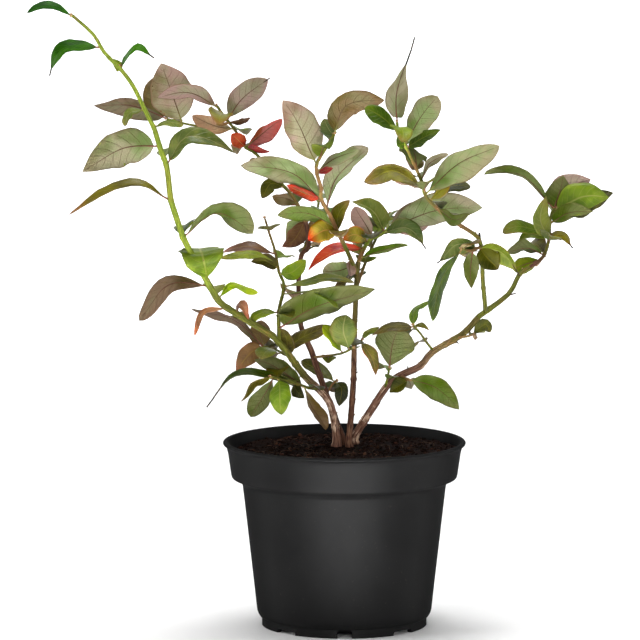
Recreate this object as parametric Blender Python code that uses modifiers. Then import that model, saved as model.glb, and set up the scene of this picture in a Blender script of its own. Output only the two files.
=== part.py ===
"""A young blueberry bush in a black nursery pot. Metres, +Z up, seen from the front along +Y."""
import math
import random

import bmesh
import bpy
from mathutils import Euler, Vector
from mathutils.bvhtree import BVHTree

# Lengths below are in millimetres; MM turns them into metres
MM = 0.001
GAP = 0.35

# Pot: a thin turned shell with a rolled lip, a deep collar and a notched foot
POT_HEIGHT = 145.0
LIP_RADIUS = 95.0
LIP_DEPTH = 3.0
COLLAR_TOP_RADIUS = 92.2
COLLAR_FOOT_RADIUS = 88.1
COLLAR_FOOT_Z = 116.5
BODY_TOP_RADIUS = 79.5
BODY_TOP_Z = 111.0
BODY_FOOT_RADIUS = 68.4
BODY_FOOT_Z = 12.7
FOOT_RADIUS = 64.7
FOOT_TOP_Z = 5.0
WALL = 1.5
PAD_RADIUS = 44.0
FLOOR_RISE = 5.5
POT_STEPS = 38
NOTCH_COUNT = 4
NOTCH_WIDTH = 12.0
NOTCH_HEIGHT = 6.6
STEP_HEIGHT = 3.0
STEP_WIDTH = 19.5
DRAIN_COUNT = 8
DRAIN_RADIUS = 3.6
DRAIN_RING = 54.0

# Soil: peat that fills the pot to a little below its rim
SOIL_TOP = 139.0
SOIL_EDGE = 136.5
SOIL_FLAT = 30.0

# A stem widens over this height down to its flat cut on the soil
FLARE_HEIGHT = 13.0
FLARE = 1.45

# Leaf blades: share of the length that is stalk, and the power that shapes the outline
STALK = 0.07
BLADE_POWER = 1.57
LEAF_THICKNESS = 1.2
STATIONS = (0.0, 0.09, 0.27, 0.52, 0.78)

# Clock hours count round the plant from above: 12 is to the back, 3 to the right,
# 6 to the front. A limb is its points, its girth at both ends and what it grows from.
STEMS = {
    "left_stem": dict(
        at=[(-6, 8, 139.4), (-6, 8, 146), (-9, 9, 166), (-15, 9, 179), (-31, 0, 196), (-44, -6, 215), (-55, -10, 228)],
        girth=(3.1, 2.4), colour=(0.35, 0.42, 0.14)),
    "brown_stem": dict(
        at=[(-1, 16, 139.4), (-2, 16, 146), (-9, 17, 165), (-16, 19, 184), (-26, 25, 213), (-34, 34, 231),
            (-36, 49, 260), (-34, 62, 283), (-28, 67, 290), (-30, 77, 308)],
        girth=(2.6, 1.6), colour=(0.36, 0.2, 0.15)),
    "middle_stem": dict(
        at=[(4, 5, 139.4), (4, 5, 148), (7, 10, 188), (8, 14, 231), (10, 17, 275), (11, 18, 283)],
        girth=(2.3, 2.0), colour=(0.38, 0.22, 0.15)),
    "right_stem": dict(
        at=[(8, 20, 139.4), (8, 20, 145), (15, 17, 157), (32, 10, 185), (43, 8, 195), (59, 4, 203), (69, 2, 215),
            (91, 0, 228), (104, 0, 242)],
        girth=(3.1, 2.3), colour=(0.4, 0.26, 0.17)),
}
BOUGHS = {
    "right_bough": dict(
        grows=("right_stem", 1), at=[(128, 16, 258), (137, 28, 272), (145, 35, 277)],
        girth=(2.2, 1.7), colour=(0.36, 0.32, 0.15)),
    "upright_bough": dict(
        grows=("right_bough", 0.12), at=[(109, -8, 255), (107, -16, 274), (106, -24, 297), (104, -32, 306)],
        girth=(1.8, 1.6), colour=(0.36, 0.44, 0.14)),
    "upper_right_bough": dict(
        grows=("upright_bough", 1), at=[(99, -38, 312), (85, -54, 322), (78, -62, 327)],
        girth=(1.6, 1.4), colour=(0.42, 0.3, 0.18)),
}

# A mass is one or more leafy twigs. A leaf is: its place along the twig, its middle and its tip,
# its width, the turn of its face from straight up, its twist, its fold, where along it is widest,
# and its tint. More leaves are dealt from a seed: how many, their length, and the seed.
LEAF_WORDS = ("place", "middle", "tip", "width", "turn", "twist", "fold", "widest", "tint")
MASSES = {
    "arch_low_leaves": [
        dict(
            grows=("left_stem", 1),
            at=[(-73, -15, 240), (-86, -21, 249), (-97, -27, 258), (-106, -34, 274)], girth=(2.3, 2.1),
            more=(2, 42, 85),
            leaves=[
                (0.76, (-86, -32, 272), (-67, -36, 265), 16.0, -138, 20, 4, 0.62, "lime"),
                (0.6, (-109, -29, 250), (-116, -35, 232), 10.0, -114, 40, 4, 0.5, "rust"),
                (0.49, (-80, -26, 256), (-74, -28, 244), 9.0, -24, 50, 4, 0.38, "rust"),
                (0.94, (-136, -40, 272), (-158, -38, 244), 20.6, 156, 10, 4, 0.6, "purple")])],
    "arch_middle_leaves": [
        dict(
            grows=("arch_low_leaves", 1), at=[(-122, -44, 305), (-126, -48, 316), (-133, -51, 338)],
            girth=(2.0, 1.9), more=(1, 46, 35),
            leaves=[
                (0.58, (-99, -48, 329), (-70, -42, 314), 32.0, 40, 40, 4, 0.62, "green"),
                (0.0, (-109, -46, 294), (-112, -18, 299), 35.3, -6, 0, 4, 0.62, "lime")])],
    "arch_upper_leaves": [
        dict(
            grows=("arch_middle_leaves", 1), at=[(-136, -54, 364), (-140, -56, 376), (-145, -58, 393)],
            girth=(1.9, 1.7), more=(1, 44, 151),
            leaves=[
                (0.78, (-171, -59, 379), (-201, -53, 362), 31.3, 90, -10, 9, 0.38, "sage"),
                (0.5, (-119, -58, 389), (-83, -52, 377), 19.6, -30, 30, 20, 0.42, "green"),
                (0.01, (-164, -57, 352), (-212, -59, 329), 20.0, 0, 20, 4, 0.56, "olive")])],
    "arch_tip_leaves": [
        dict(
            grows=("arch_upper_leaves", 1),
            at=[(-153, -61, 410), (-161, -64, 427), (-170, -67, 440), (-183, -70, 454), (-191, -75, 468),
                (-207, -80, 483)], girth=(1.6, 1.0), more=(1, 32, 86),
            leaves=[
                (0.99, (-223, -83, 490), (-241, -86, 486), 14.0, -12, 20, 4, 0.56, "deep"),
                (0.69, (-213, -77, 458), (-227, -77, 438), 22.6, -6, 10, 4, 0.5, "deep"),
                (0.5, (-159, -70, 458), (-145, -73, 450), 15.0, -6, 10, 4, 0.38, "deep"),
                (0.16, (-164, -63, 407), (-168, -64, 397), 10.7, -18, 30, 14, 0.62, "green"),
                (0.02, (-135, -60, 400), (-123, -62, 398), 11.5, -132, 30, 9, 0.56, "green")])],
    "side_shoot_leaves": [
        dict(
            grows=("left_stem", 0.94),
            at=[(-51, -4, 248), (-47, 3, 266), (-51, 6, 277), (-54, 9, 293), (-58, 13, 305),
                (-62, 16, 318)], girth=(1.6, 0.8), more=(4, 42, 57),
            leaves=[
                (0.69, (-74, 5, 297), (-95, 11, 293), 16.2, -12, 30, 4, 0.62, "purple"),
                (0.61, (-75, 1, 292), (-98, 1, 287), 14.0, -132, 20, 9, 0.44, "green"),
                (0.57, (-62, 3, 286), (-73, 6, 285), 12.2, -48, 10, 14, 0.38, "olive"),
                (0.52, (-41, -6, 278), (-30, -6, 288), 14.0, -84, 0, 4, 0.5, "lime"),
                (0.41, (-16, -11, 274), (8, -13, 274), 24.6, 0, 20, 4, 0.62, "green"),
                (0.06, (-20, -29, 255), (24, -31, 268), 44.0, 48, 6, 4, 0.4, "sage"),
                (0.35, (-20, -31, 265), (-4, -33, 254), 21.8, 6, 0, 4, 0.62, "lime"),
                (0.19, (-63, -10, 247), (-75, -12, 240), 12.3, -12, 10, 9, 0.62, "lime")])],
    "upper_left_leaves": [
        dict(
            grows=("brown_stem", 1),
            at=[(-41, 86, 328), (-50, 90, 338), (-69, 96, 360), (-78, 99, 366), (-87, 102, 380),
                (-94, 106, 388), (-101, 109, 398)], girth=(1.5, 1.0), more=(7, 46, 117),
            leaves=[
                (0.98, (-123, 105, 409), (-148, 108, 406), 20.4, 60, 20, 9, 0.44, "mauve"),
                (0.88, (-80, 102, 405), (-59, 105, 421), 22.8, 84, 20, 4, 0.5, "mauve"),
                (0.66, (-63, 97, 378), (-49, 103, 388), 17.2, 156, 10, 9, 0.5, "red"),
                (0.66, (-83, 93, 371), (-89, 91, 377), 13.0, -96, 0, 4, 0.5, "red"),
                (0.65, (-68, 93, 365), (-59, 91, 362), 9.6, -120, 0, 4, 0.38, "red"),
                (0.8, (-103, 108, 382), (-121, 112, 389), 17.0, 150, 10, 4, 0.56, "rust"),
                (0.86, (-82, 106, 386), (-74, 108, 388), 8.3, -126, 20, 9, 0.44, "purple"),
                (0.28, (-58, 87, 338), (-65, 87, 326), 12.1, -90, 10, 4, 0.5, "dark"),
                (0.14, (-46, 79, 327), (-57, 79, 328), 14.0, 144, 20, 27, 0.56, "purple"),
                (0.13, (-44, 89, 322), (-50, 91, 320), 9, -30, 0, 15, 0.5, "red"),
                (0.02, (-37, 81, 289), (-46, 83, 280), 16.1, -102, 10, 4, 0.38, "purple"),
                (0.03, (-39, 87, 298), (-46, 89, 291), 19.9, 42, 0, 20, 0.44, "sage")]),
        dict(
            at=[(-91, 104, 384), (-112, 115, 381), (-129, 122, 383), (-142, 128, 386)], girth=(1.1, 0.8),
            more=(2, 42, 160),
            leaves=[
                (0.75, (-137, 124, 406), (-146, 128, 430), 36.3, 144, 0, 4, 0.44, "mauve"),
                (0.99, (-149, 134, 401), (-153, 138, 418), 25.1, -168, 20, 27, 0.5, "purple"),
                (0.97, (-168, 129, 396), (-200, 133, 395), 26.4, 162, -10, 4, 0.38, "mauve")])],
    "inner_left_leaves": [
        dict(
            grows=("brown_stem", 0.38), at=[(-3, -11, 215), (7, -35, 223)], girth=(1.0, 0.8),
            more=(2, 32, 28),
            leaves=[
                (0.85, (-1, -32, 235), (1, -30, 248), 21.8, -84, 0, 4, 0.56, "green"),
                (0.64, (-9, -23, 230), (-17, -26, 239), 14.5, -54, 0, 4, 0.62, "lime")])],
    "middle_right_leaves": [
        dict(
            grows=("middle_stem", 1), at=[(19, 34, 298), (29, 44, 302), (37, 54, 308)], girth=(1.7, 1.0),
            more=(5, 46, 154),
            leaves=[
                (0.96, (70, 51, 320), (109, 53, 322), 35.5, 66, 10, 4, 0.44, "sage"),
                (0.81, (23, 43, 320), (6, 45, 329), 21.4, -30, 20, 35, 0.38, "green"),
                (0.93, (52, 61, 312), (68, 69, 310), 27.7, 102, 0, 9, 0.56, "mauve"),
                (0.79, (50, 42, 307), (65, 40, 292), 18.9, -30, 20, 35, 0.44, "green"),
                (0.07, (30, 17, 293), (50, 18, 297), 17.3, 42, 0, 20, 0.5, "sage"),
                (0.54, (16, 46, 311), (8, 52, 323), 16.2, 168, 0, 14, 0.62, "mauve"),
                (0.28, (-4, 16, 293), (-30, 14, 279), 17.7, -12, 30, 20, 0.5, "ember"),
                (0.42, (8, 19, 305), (-1, 13, 302), 14.1, -96, 0, 4, 0.56, "ember")])],
    "centre_low_leaves": [
        dict(
            grows=("middle_stem", 0.94),
            at=[(0, -6, 299), (-5, -19, 310), (-11, -32, 325), (-18, -45, 339), (-18, -51, 347)],
            girth=(1.7, 1.5), more=(4, 42, 95),
            leaves=[
                (0.84, (-39, -45, 359), (-80, -41, 365), 32.9, 54, 0, 4, 0.5, "sage"),
                (0.78, (-6, -41, 356), (18, -41, 379), 26.3, 66, 0, 20, 0.62, "sage"),
                (0.56, (-29, -30, 327), (-52, -28, 326), 20.7, 54, 10, 4, 0.5, "sage"),
                (0.91, (-31, -36, 343), (-45, -30, 348), 15.6, -120, 0, 4, 0.5, "red"),
                (0.5, (-5, -24, 325), (3, -24, 337), 13.1, -36, 10, 4, 0.5, "olive"),
                (0.5, (-16, -28, 313), (-28, -30, 306), 19, -48, 20, 18, 0.5, "ember"),
                (0.13, (4, 9, 281), (5, 11, 273), 10.8, 0, 0, 27, 0.62, "mauve"),
                (0.06, (-4, 22, 276), (-17, 24, 275), 17.7, 120, 0, 4, 0.62, "sage"),
                (0.02, (1, 25, 267), (-8, 27, 264), 14, -50, 0, 12, 0.5, "olive")])],
    "centre_top_leaves": [
        dict(
            grows=("centre_low_leaves", 1), at=[(-22, -64, 366), (-16, -74, 379), (-8, -83, 393)],
            girth=(1.5, 1.1), more=(3, 44, 134),
            leaves=[
                (0.43, (-32, -67, 392), (-47, -63, 417), 32.1, 108, 0, 14, 0.45, "mauve"),
                (1.0, (1, -87, 415), (30, -89, 420), 24.9, 66, 30, 14, 0.42, "mauve"),
                (0.97, (-14, -80, 399), (-16, -78, 404), 12, -50, 0, 15, 0.5, "olive"),
                (0.3, (-7, -59, 372), (11, -57, 378), 17.4, 168, 0, 4, 0.56, "sage"),
                (0.28, (-15, -63, 363), (-9, -64, 365), 6, -50, 0, 12, 0.5, "red")])],
    "right_middle_leaves": [
        dict(
            grows=("upright_bough", 0.88), at=[(96, -43, 299), (89, -59, 303)], girth=(1.1, 0.9),
            more=(3, 36, 58),
            leaves=[
                (0.08, (86, -35, 303), (72, -37, 288), 16.7, -102, 20, 9, 0.38, "olive"),
                (0.91, (74, -62, 279), (67, -64, 247), 23.5, -102, 20, 4, 0.5, "green"),
                (0.32, (97, -36, 283), (98, -36, 269), 14.0, -168, 0, 4, 0.38, "sage"),
                (0.02, (121, -35, 297), (135, -37, 279), 22.9, -96, 10, 27, 0.38, "green"),
                (0.01, (114, -29, 290), (126, -25, 282), 21.1, -42, 0, 27, 0.5, "dark")])],
    "upper_right_low_leaves": [
        dict(
            grows=("upper_right_bough", 1), at=[(62, -80, 344), (59, -90, 355), (55, -96, 365)],
            girth=(1.3, 1.2), more=(4, 42, 70),
            leaves=[
                (0.86, (64, -88, 371), (78, -86, 379), 17, 52, 0, 12, 0.55, "sage"),
                (0.58, (85, -80, 369), (118, -76, 382), 30.8, 156, 0, 9, 0.52, "sage"),
                (0.72, (36, -92, 366), (15, -90, 355), 21.6, -120, 0, 9, 0.56, "mauve"),
                (0.7, (50, -81, 354), (39, -77, 356), 17.0, 66, 0, 27, 0.62, "mauve"),
                (0.41, (78, -72, 351), (96, -68, 352), 17.0, -12, 0, 9, 0.62, "dark"),
                (0.44, (72, -79, 348), (79, -77, 355), 10.5, -96, 0, 27, 0.62, "olive"),
                (0.23, (84, -62, 322), (97, -58, 327), 16.0, 156, 0, 4, 0.44, "sage")])],
    "upper_right_top_leaves": [
        dict(
            grows=("upper_right_low_leaves", 1), at=[(46, -106, 385), (40, -112, 399), (39, -115, 405)],
            girth=(1.2, 1.0), more=(3, 40, 130),
            leaves=[
                (0.96, (40, -114, 431), (53, -110, 468), 31.8, -156, 30, 4, 0.38, "sage"),
                (0.56, (56, -105, 406), (70, -101, 423), 22.9, 144, 0, 9, 0.62, "mauve"),
                (0.79, (28, -114, 408), (15, -115, 416), 15.4, -42, 0, 4, 0.62, "bright"),
                (0.49, (58, -110, 392), (72, -112, 399), 14.4, -30, 0, 4, 0.38, "bright"),
                (0.5, (41, -111, 389), (40, -113, 395), 6.8, -90, 0, 4, 0.38, "bright"),
                (0.05, (53, -96, 376), (52, -80, 382), 24.0, -156, 0, 4, 0.58, "sage")])],
    "right_spray_leaves": [
        dict(
            grows=("right_bough", 1), at=[(156, 44, 284), (161, 52, 296), (163, 61, 315), (167, 64, 321)],
            girth=(1.5, 1.0), more=(5, 42, 10),
            leaves=[
                (0.97, (141, 60, 347), (110, 63, 349), 21.6, 48, -30, 9, 0.72, "green"),
                (0.96, (170, 67, 333), (173, 71, 346), 20.7, 150, 0, 4, 0.38, "sage"),
                (0.56, (154, 48, 313), (159, 48, 332), 16.7, -42, 0, 4, 0.38, "green"),
                (0.96, (178, 71, 336), (195, 77, 342), 26.4, 138, 0, 4, 0.38, "mauve"),
                (0.96, (187, 59, 330), (209, 59, 330), 25.8, -60, 0, 4, 0.38, "bright"),
                (0.93, (190, 69, 325), (213, 75, 334), 24.6, -30, 0, 9, 0.38, "dark"),
                (0.76, (176, 55, 318), (196, 54, 319), 16.4, 66, 0, 4, 0.38, "green"),
                (0.6, (138, 50, 308), (124, 50, 304), 17.8, -18, 0, 4, 0.62, "sage"),
                (0.55, (147, 57, 301), (137, 59, 295), 9, -40, 0, 15, 0.5, "bright"),
                (0.6, (173, 51, 301), (179, 50, 290), 11.6, -120, 10, 4, 0.38, "rust"),
                (0.3, (144, 49, 291), (128, 51, 287), 24, 46, 0, 12, 0.5, "mauve"),
                (0.22, (144, 45, 279), (133, 47, 274), 13.9, 114, 0, 4, 0.62, "bright")])],
    "right_inner_leaves": [
        dict(
            grows=("right_stem", 0.7), at=[(64, -5, 223), (59, -13, 231), (53, -22, 239)],
            girth=(1.0, 0.8), more=(2, 34, 31),
            leaves=[
                (0.91, (37, -25, 238), (20, -26, 232), 16.1, -6, 20, 4, 0.38, "olive"),
                (1.0, (55, -26, 252), (68, -28, 258), 12.5, -144, 20, 4, 0.38, "bright"),
                (1.0, (60, -22, 239), (66, -20, 235), 6.5, -24, 0, 4, 0.44, "olive")])],
    "right_low_leaves": [
        dict(
            grows=("right_stem", 0.36), at=[(34, -4, 197), (35, -11, 204)], girth=(1.0, 0.8),
            more=(2, 32, 183),
            leaves=[
                (1.0, (37, -13, 221), (42, -17, 237), 34.0, 120, 0, 9, 0.6, "sage")])],
    "middle_low_leaves": [
        dict(
            grows=("middle_stem", 0.55), at=[(12, 5, 222), (14, 0, 225)], girth=(0.9, 0.8),
            more=(2, 30, 128),
            leaves=[
                (0.7, (21, -1, 211), (25, -3, 197), 13.6, 0, 0, 4, 0.38, "ember"),
                (0.72, (18, -1, 231), (27, -3, 234), 8.9, -126, 0, 20, 0.62, "green")])],
    "fork_leaves": [
        dict(
            grows=("brown_stem", 0.22), at=[(-9, 27, 186), (-6, 31, 188)], girth=(0.9, 0.8),
            more=(2, 32, 115),
            leaves=[
                (0.87, (-2, 24, 182), (-4, 22, 169), 11.7, -6, 10, 4, 0.44, "olive"),
                (0.85, (-19, 41, 194), (-34, 43, 202), 16.0, -12, 0, 14, 0.62, "dark")])],
    "right_elbow_leaves": [
        dict(
            grows=("right_stem", 0.84), at=[(97, -11, 229), (100, -16, 231)], girth=(0.9, 0.8),
            more=(1, 26, 104),
            leaves=[
                (1.0, (109, -19, 239), (113, -21, 233), 9.7, -72, 0, 4, 0.56, "dark"),
                (1.0, (102, -20, 231), (101, -22, 227), 7.8, -138, 0, 27, 0.5, "olive")])],
    "right_under_leaves": [
        dict(
            grows=("right_stem", 0.47), at=[(50, -6, 194), (51, -9, 194)], girth=(1.0, 0.9),
            more=(2, 30, 7),
            leaves=[
                (0.8, (71, -8, 188), (90, -6, 172), 21.1, 84, 0, 4, 0.44, "mauve"),
                (0.68, (44, -1, 189), (35, 1, 183), 13.9, -48, 0, 20, 0.38, "dark")])],
    "lower_left_leaves": [
        dict(
            grows=("left_stem", 0.46), at=[(-28, -9, 188), (-37, -15, 192), (-57, -25, 199)],
            girth=(1.2, 0.9), more=(3, 36, 66),
            leaves=[
                (0.49, (-82, -23, 201), (-108, -25, 176), 16.0, 0, 20, 4, 0.44, "bright"),
                (0.96, (-71, -28, 194), (-79, -30, 179), 14.3, -126, 10, 14, 0.38, "olive"),
                (0.85, (-50, -36, 186), (-49, -39, 171), 18.5, -24, 0, 4, 0.5, "lime"),
                (0.95, (-63, -20, 183), (-73, -16, 166), 17.5, 78, 0, 9, 0.62, "sage"),
                (0.55, (-37, -8, 185), (-31, -4, 179), 10.9, -96, 0, 4, 0.38, "olive"),
                (0.34, (-25, -17, 174), (-13, -16, 157), 16.6, 72, 0, 9, 0.62, "sage"),
                (0.34, (-52, 0, 202), (-70, -4, 211), 20.4, 84, 0, 14, 0.44, "sage")])],
    "back_left_leaves": [
        dict(
            grows=("left_stem", 0.8), at=[(-47, 7, 212), (-54, 14, 215), (-64, 23, 216)], girth=(1.0, 0.8),
            more=(4, 42, 151),
            leaves=[
                (0.95, (-74, 18, 211), (-85, 16, 198), 18.1, -36, 0, 14, 0.38, "purple"),
                (0.98, (-87, 25, 237), (-121, 29, 243), 26.6, -174, 0, 4, 0.5, "mauve"),
                (0.94, (-66, 32, 225), (-65, 36, 235), 18.1, 168, 0, 4, 0.56, "mauve"),
                (0.93, (-57, 33, 217), (-52, 37, 213), 8.7, -36, 0, 4, 0.62, "olive"),
                (0.39, (-34, 11, 224), (-12, 9, 235), 20.8, -18, 0, 4, 0.5, "olive"),
                (0.2, (-38, -7, 226), (-42, -9, 237), 13.9, 168, 0, 4, 0.38, "bright")])],
    "back_middle_leaves": [
        dict(
            grows=("brown_stem", 0.8), at=[(-28, 96, 296), (-22, 131, 309), (-18, 157, 328)],
            girth=(1.3, 0.9), more=(8, 46, 40),
            leaves=[])],
    "back_right_leaves": [
        dict(
            grows=("middle_stem", 0.86), at=[(17, 50, 280), (27, 96, 296), (37, 138, 309)],
            girth=(1.3, 0.9), more=(8, 44, 169),
            leaves=[])],
}
TINTS = {
    "green": (0.13, 0.25, 0.05), "dark": (0.05, 0.14, 0.04), "sage": (0.28, 0.34, 0.2), "mauve": (0.33, 0.26, 0.22),
    "lime": (0.3, 0.45, 0.06), "red": (0.5, 0.06, 0.05), "rust": (0.4, 0.18, 0.1), "olive": (0.2, 0.19, 0.06),
    "purple": (0.2, 0.08, 0.1), "deep": (0.02, 0.12, 0.02), "bright": (0.1, 0.3, 0.03), "ember": (0.45, 0.22, 0.06),
}
DEALT_TINTS = ("green", "green", "deep", "dark", "sage", "olive", "bright")
DEALT_SPREAD = 18.0
TRIES = 14


def reset_scene():
    for obj in list(bpy.data.objects):
        bpy.data.objects.remove(obj, do_unlink=True)


def make_collection(name):
    found = bpy.data.collections.new(name)
    bpy.context.scene.collection.children.link(found)
    return found


def make_material(name, colour, roughness, metallic=0.0):
    material = bpy.data.materials.new(name)
    material.use_nodes = True
    shader = material.node_tree.nodes["Principled BSDF"]
    shader.inputs["Base Color"].default_value = (*colour, 1.0)
    shader.inputs["Roughness"].default_value = roughness
    shader.inputs["Metallic"].default_value = metallic
    return material


def mesh_object(name, mesh, group, material=None):
    obj = bpy.data.objects.new(name, mesh)
    group.objects.link(obj)
    if material:
        mesh.materials.clear()
        mesh.materials.append(material)
    return obj


def baked_mesh(obj, weld=0.00001):
    """The object's evaluated mesh, with loose caps welded."""
    bpy.context.view_layer.update()
    view = bpy.context.evaluated_depsgraph_get()
    mesh = bpy.data.meshes.new_from_object(obj.evaluated_get(view))
    work = bmesh.new()
    work.from_mesh(mesh)
    bmesh.ops.remove_doubles(work, verts=work.verts, dist=weld)
    bmesh.ops.recalc_face_normals(work, faces=work.faces)
    work.to_mesh(mesh)
    work.free()
    return mesh


def boolean(obj, cutter, operation="DIFFERENCE", solver="EXACT"):
    cut = obj.modifiers.new(operation.lower(), "BOOLEAN")
    cut.operation = operation
    cut.solver = solver
    if isinstance(cutter, bpy.types.Collection):
        cut.operand_type = "COLLECTION"
        cut.collection = cutter
    else:
        cut.object = cutter
    return cut


def turned(name, profile, group, steps, material):
    """A closed outline in the XZ plane, turned about Z."""
    mesh = bpy.data.meshes.new(name)
    count = len(profile)
    mesh.from_pydata([(x * MM, 0.0, z * MM) for x, z in profile], [(i, (i + 1) % count) for i in range(count)], [])
    obj = mesh_object(name, mesh, group)
    screw = obj.modifiers.new("turn", "SCREW")
    screw.axis = "Z"
    screw.steps = steps
    screw.render_steps = steps
    screw.use_merge_vertices = True
    screw.merge_threshold = 0.00001
    solid = baked_mesh(obj)
    bpy.data.objects.remove(obj)
    solid.name = name
    return mesh_object(name, solid, group, material)


def inner_radius(z):
    """The pot's inside radius at a height, one wall in from the outside."""
    if z > COLLAR_FOOT_Z:
        share = (z - COLLAR_FOOT_Z) / (POT_HEIGHT - COLLAR_FOOT_Z)
        return COLLAR_FOOT_RADIUS + (COLLAR_TOP_RADIUS - COLLAR_FOOT_RADIUS) * share - WALL
    if z > BODY_TOP_Z:
        share = (z - BODY_TOP_Z) / (COLLAR_FOOT_Z - BODY_TOP_Z)
        return BODY_TOP_RADIUS + (COLLAR_FOOT_RADIUS - BODY_TOP_RADIUS) * share - WALL
    share = (z - BODY_FOOT_Z) / (BODY_TOP_Z - BODY_FOOT_Z)
    return BODY_FOOT_RADIUS + (BODY_TOP_RADIUS - BODY_FOOT_RADIUS) * share - WALL


def build_pot(group, cutters):
    outside = [
        (LIP_RADIUS - LIP_DEPTH - 1.5, POT_HEIGHT), (LIP_RADIUS - 0.8, POT_HEIGHT), (LIP_RADIUS, POT_HEIGHT - 0.8),
        (LIP_RADIUS, POT_HEIGHT - 2.0), (LIP_RADIUS - 0.7, POT_HEIGHT - 2.6), (COLLAR_TOP_RADIUS, POT_HEIGHT - 3.2),
        (COLLAR_FOOT_RADIUS, COLLAR_FOOT_Z + 1.0), (COLLAR_FOOT_RADIUS - 1.2, COLLAR_FOOT_Z - 1.0),
        (COLLAR_FOOT_RADIUS - 4.2, BODY_TOP_Z + 1.6), (BODY_TOP_RADIUS + 0.4, BODY_TOP_Z + 0.3),
        (BODY_TOP_RADIUS, BODY_TOP_Z - 1.0), (BODY_FOOT_RADIUS, BODY_FOOT_Z), (BODY_FOOT_RADIUS - 0.9, BODY_FOOT_Z - 3.0),
        (FOOT_RADIUS + 0.8, 6.0), (FOOT_RADIUS, FOOT_TOP_Z), (FOOT_RADIUS, 0.0),
    ]
    under = [
        (FOOT_RADIUS - 4.0, 0.0), (FOOT_RADIUS - 4.6, FLOOR_RISE), (PAD_RADIUS + 4.0, FLOOR_RISE), (PAD_RADIUS, 0.0),
        (0.0, 0.0), (0.0, WALL), (PAD_RADIUS - 1.0, WALL), (PAD_RADIUS + 3.2, FLOOR_RISE + WALL),
        (FOOT_RADIUS - 2.0, FLOOR_RISE + WALL),
    ]
    heights = (BODY_FOOT_Z, BODY_TOP_Z, BODY_TOP_Z + 2.4, COLLAR_FOOT_Z, POT_HEIGHT - 2.0)
    inside = [(inner_radius(z), z) for z in heights]
    pot = turned("pot", outside + under + inside, group, POT_STEPS, make_material("pot", (0.02, 0.02, 0.021), 0.42))

    sizes = []
    for i in range(NOTCH_COUNT):
        turn = 2 * math.pi * i / NOTCH_COUNT - math.pi / 2
        sizes.append((turn, NOTCH_WIDTH, NOTCH_HEIGHT, 20.0, FOOT_RADIUS + 1.0))
        sizes.append((turn + math.pi / NOTCH_COUNT, STEP_WIDTH, STEP_HEIGHT, 20.0, FOOT_RADIUS + 1.0))
    blocks = make_collection("foot cuts")
    cutters.children.link(blocks)
    bpy.context.scene.collection.children.unlink(blocks)
    for turn, width, height, deep, radius in sizes:
        work = bmesh.new()
        bmesh.ops.create_cube(work, size=1.0)
        mesh = bpy.data.meshes.new("notch")
        work.to_mesh(mesh)
        work.free()
        block = mesh_object("notch", mesh, blocks)
        block.scale = (deep * MM, width * MM, height * 2 * MM)
        block.rotation_euler = (0.0, 0.0, turn)
        block.location = (math.cos(turn) * radius * MM, math.sin(turn) * radius * MM, 0.0)
    for i in range(DRAIN_COUNT):
        turn = 2 * math.pi * (i + 0.5) / DRAIN_COUNT - math.pi / 2
        work = bmesh.new()
        bmesh.ops.create_cone(work, cap_ends=True, segments=10, radius1=DRAIN_RADIUS * MM, radius2=DRAIN_RADIUS * MM,
                              depth=6 * MM)
        mesh = bpy.data.meshes.new("drain")
        work.to_mesh(mesh)
        work.free()
        drain = mesh_object("drain", mesh, blocks)
        drain.location = (math.cos(turn) * DRAIN_RING * MM, math.sin(turn) * DRAIN_RING * MM, (FLOOR_RISE + 0.8) * MM)
    for obj in blocks.objects:
        obj.hide_render = True
        obj.display_type = "WIRE"
    boolean(pot, blocks)
    pot.data.shade_smooth()
    pot.data.set_sharp_from_angle(angle=math.radians(35))
    return pot


def build_soil(group):
    clear = GAP
    floor = FLOOR_RISE + WALL + clear
    low = [(inner_radius(z) - clear, z) for z in (COLLAR_FOOT_Z, BODY_TOP_Z + 2.0, BODY_TOP_Z, BODY_FOOT_Z + clear)]
    profile = [
        (0.0, SOIL_TOP), (SOIL_FLAT, SOIL_TOP), (SOIL_FLAT + 30.0, SOIL_TOP - 1.0),
        (inner_radius(SOIL_EDGE) - clear, SOIL_EDGE),
    ] + low + [(FOOT_RADIUS - 3.0, floor), (0.0, floor)]
    soil = turned("soil", profile, group, POT_STEPS, make_material("soil", (0.06, 0.035, 0.028), 0.95))
    soil.data.shade_smooth()
    soil.data.set_sharp_from_angle(angle=math.radians(35))
    return soil


def smooth_path(points, per):
    """A smooth curve through the points, with so many steps between two of them."""
    knots = [Vector(p) for p in points]
    if len(knots) == 2:
        return [knots[0].lerp(knots[1], i / per) for i in range(per + 1)]
    knots = [knots[0] * 2 - knots[1]] + knots + [knots[-1] * 2 - knots[-2]]
    path = []
    for i in range(1, len(knots) - 2):
        a, b, c, d = knots[i - 1:i + 3]
        for j in range(per):
            t = j / per
            path.append((b * 2 + (c - a) * t + (a * 2 - b * 5 + c * 4 - d) * t * t + (b * 3 - a - c * 3 + d) * t ** 3) / 2)
    path.append(knots[-2])
    return path


def path_at(path, share):
    """The point and the direction at a share of the path's length."""
    runs = [0.0]
    for a, b in zip(path, path[1:]):
        runs.append(runs[-1] + (b - a).length)
    want = share * runs[-1]
    for i in range(len(path) - 1):
        if want <= runs[i + 1] or i == len(path) - 2:
            step = runs[i + 1] - runs[i]
            return path[i].lerp(path[i + 1], (want - runs[i]) / step), (path[i + 1] - path[i]).normalized()


def path_length(path):
    return sum((b - a).length for a, b in zip(path, path[1:]))


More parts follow.
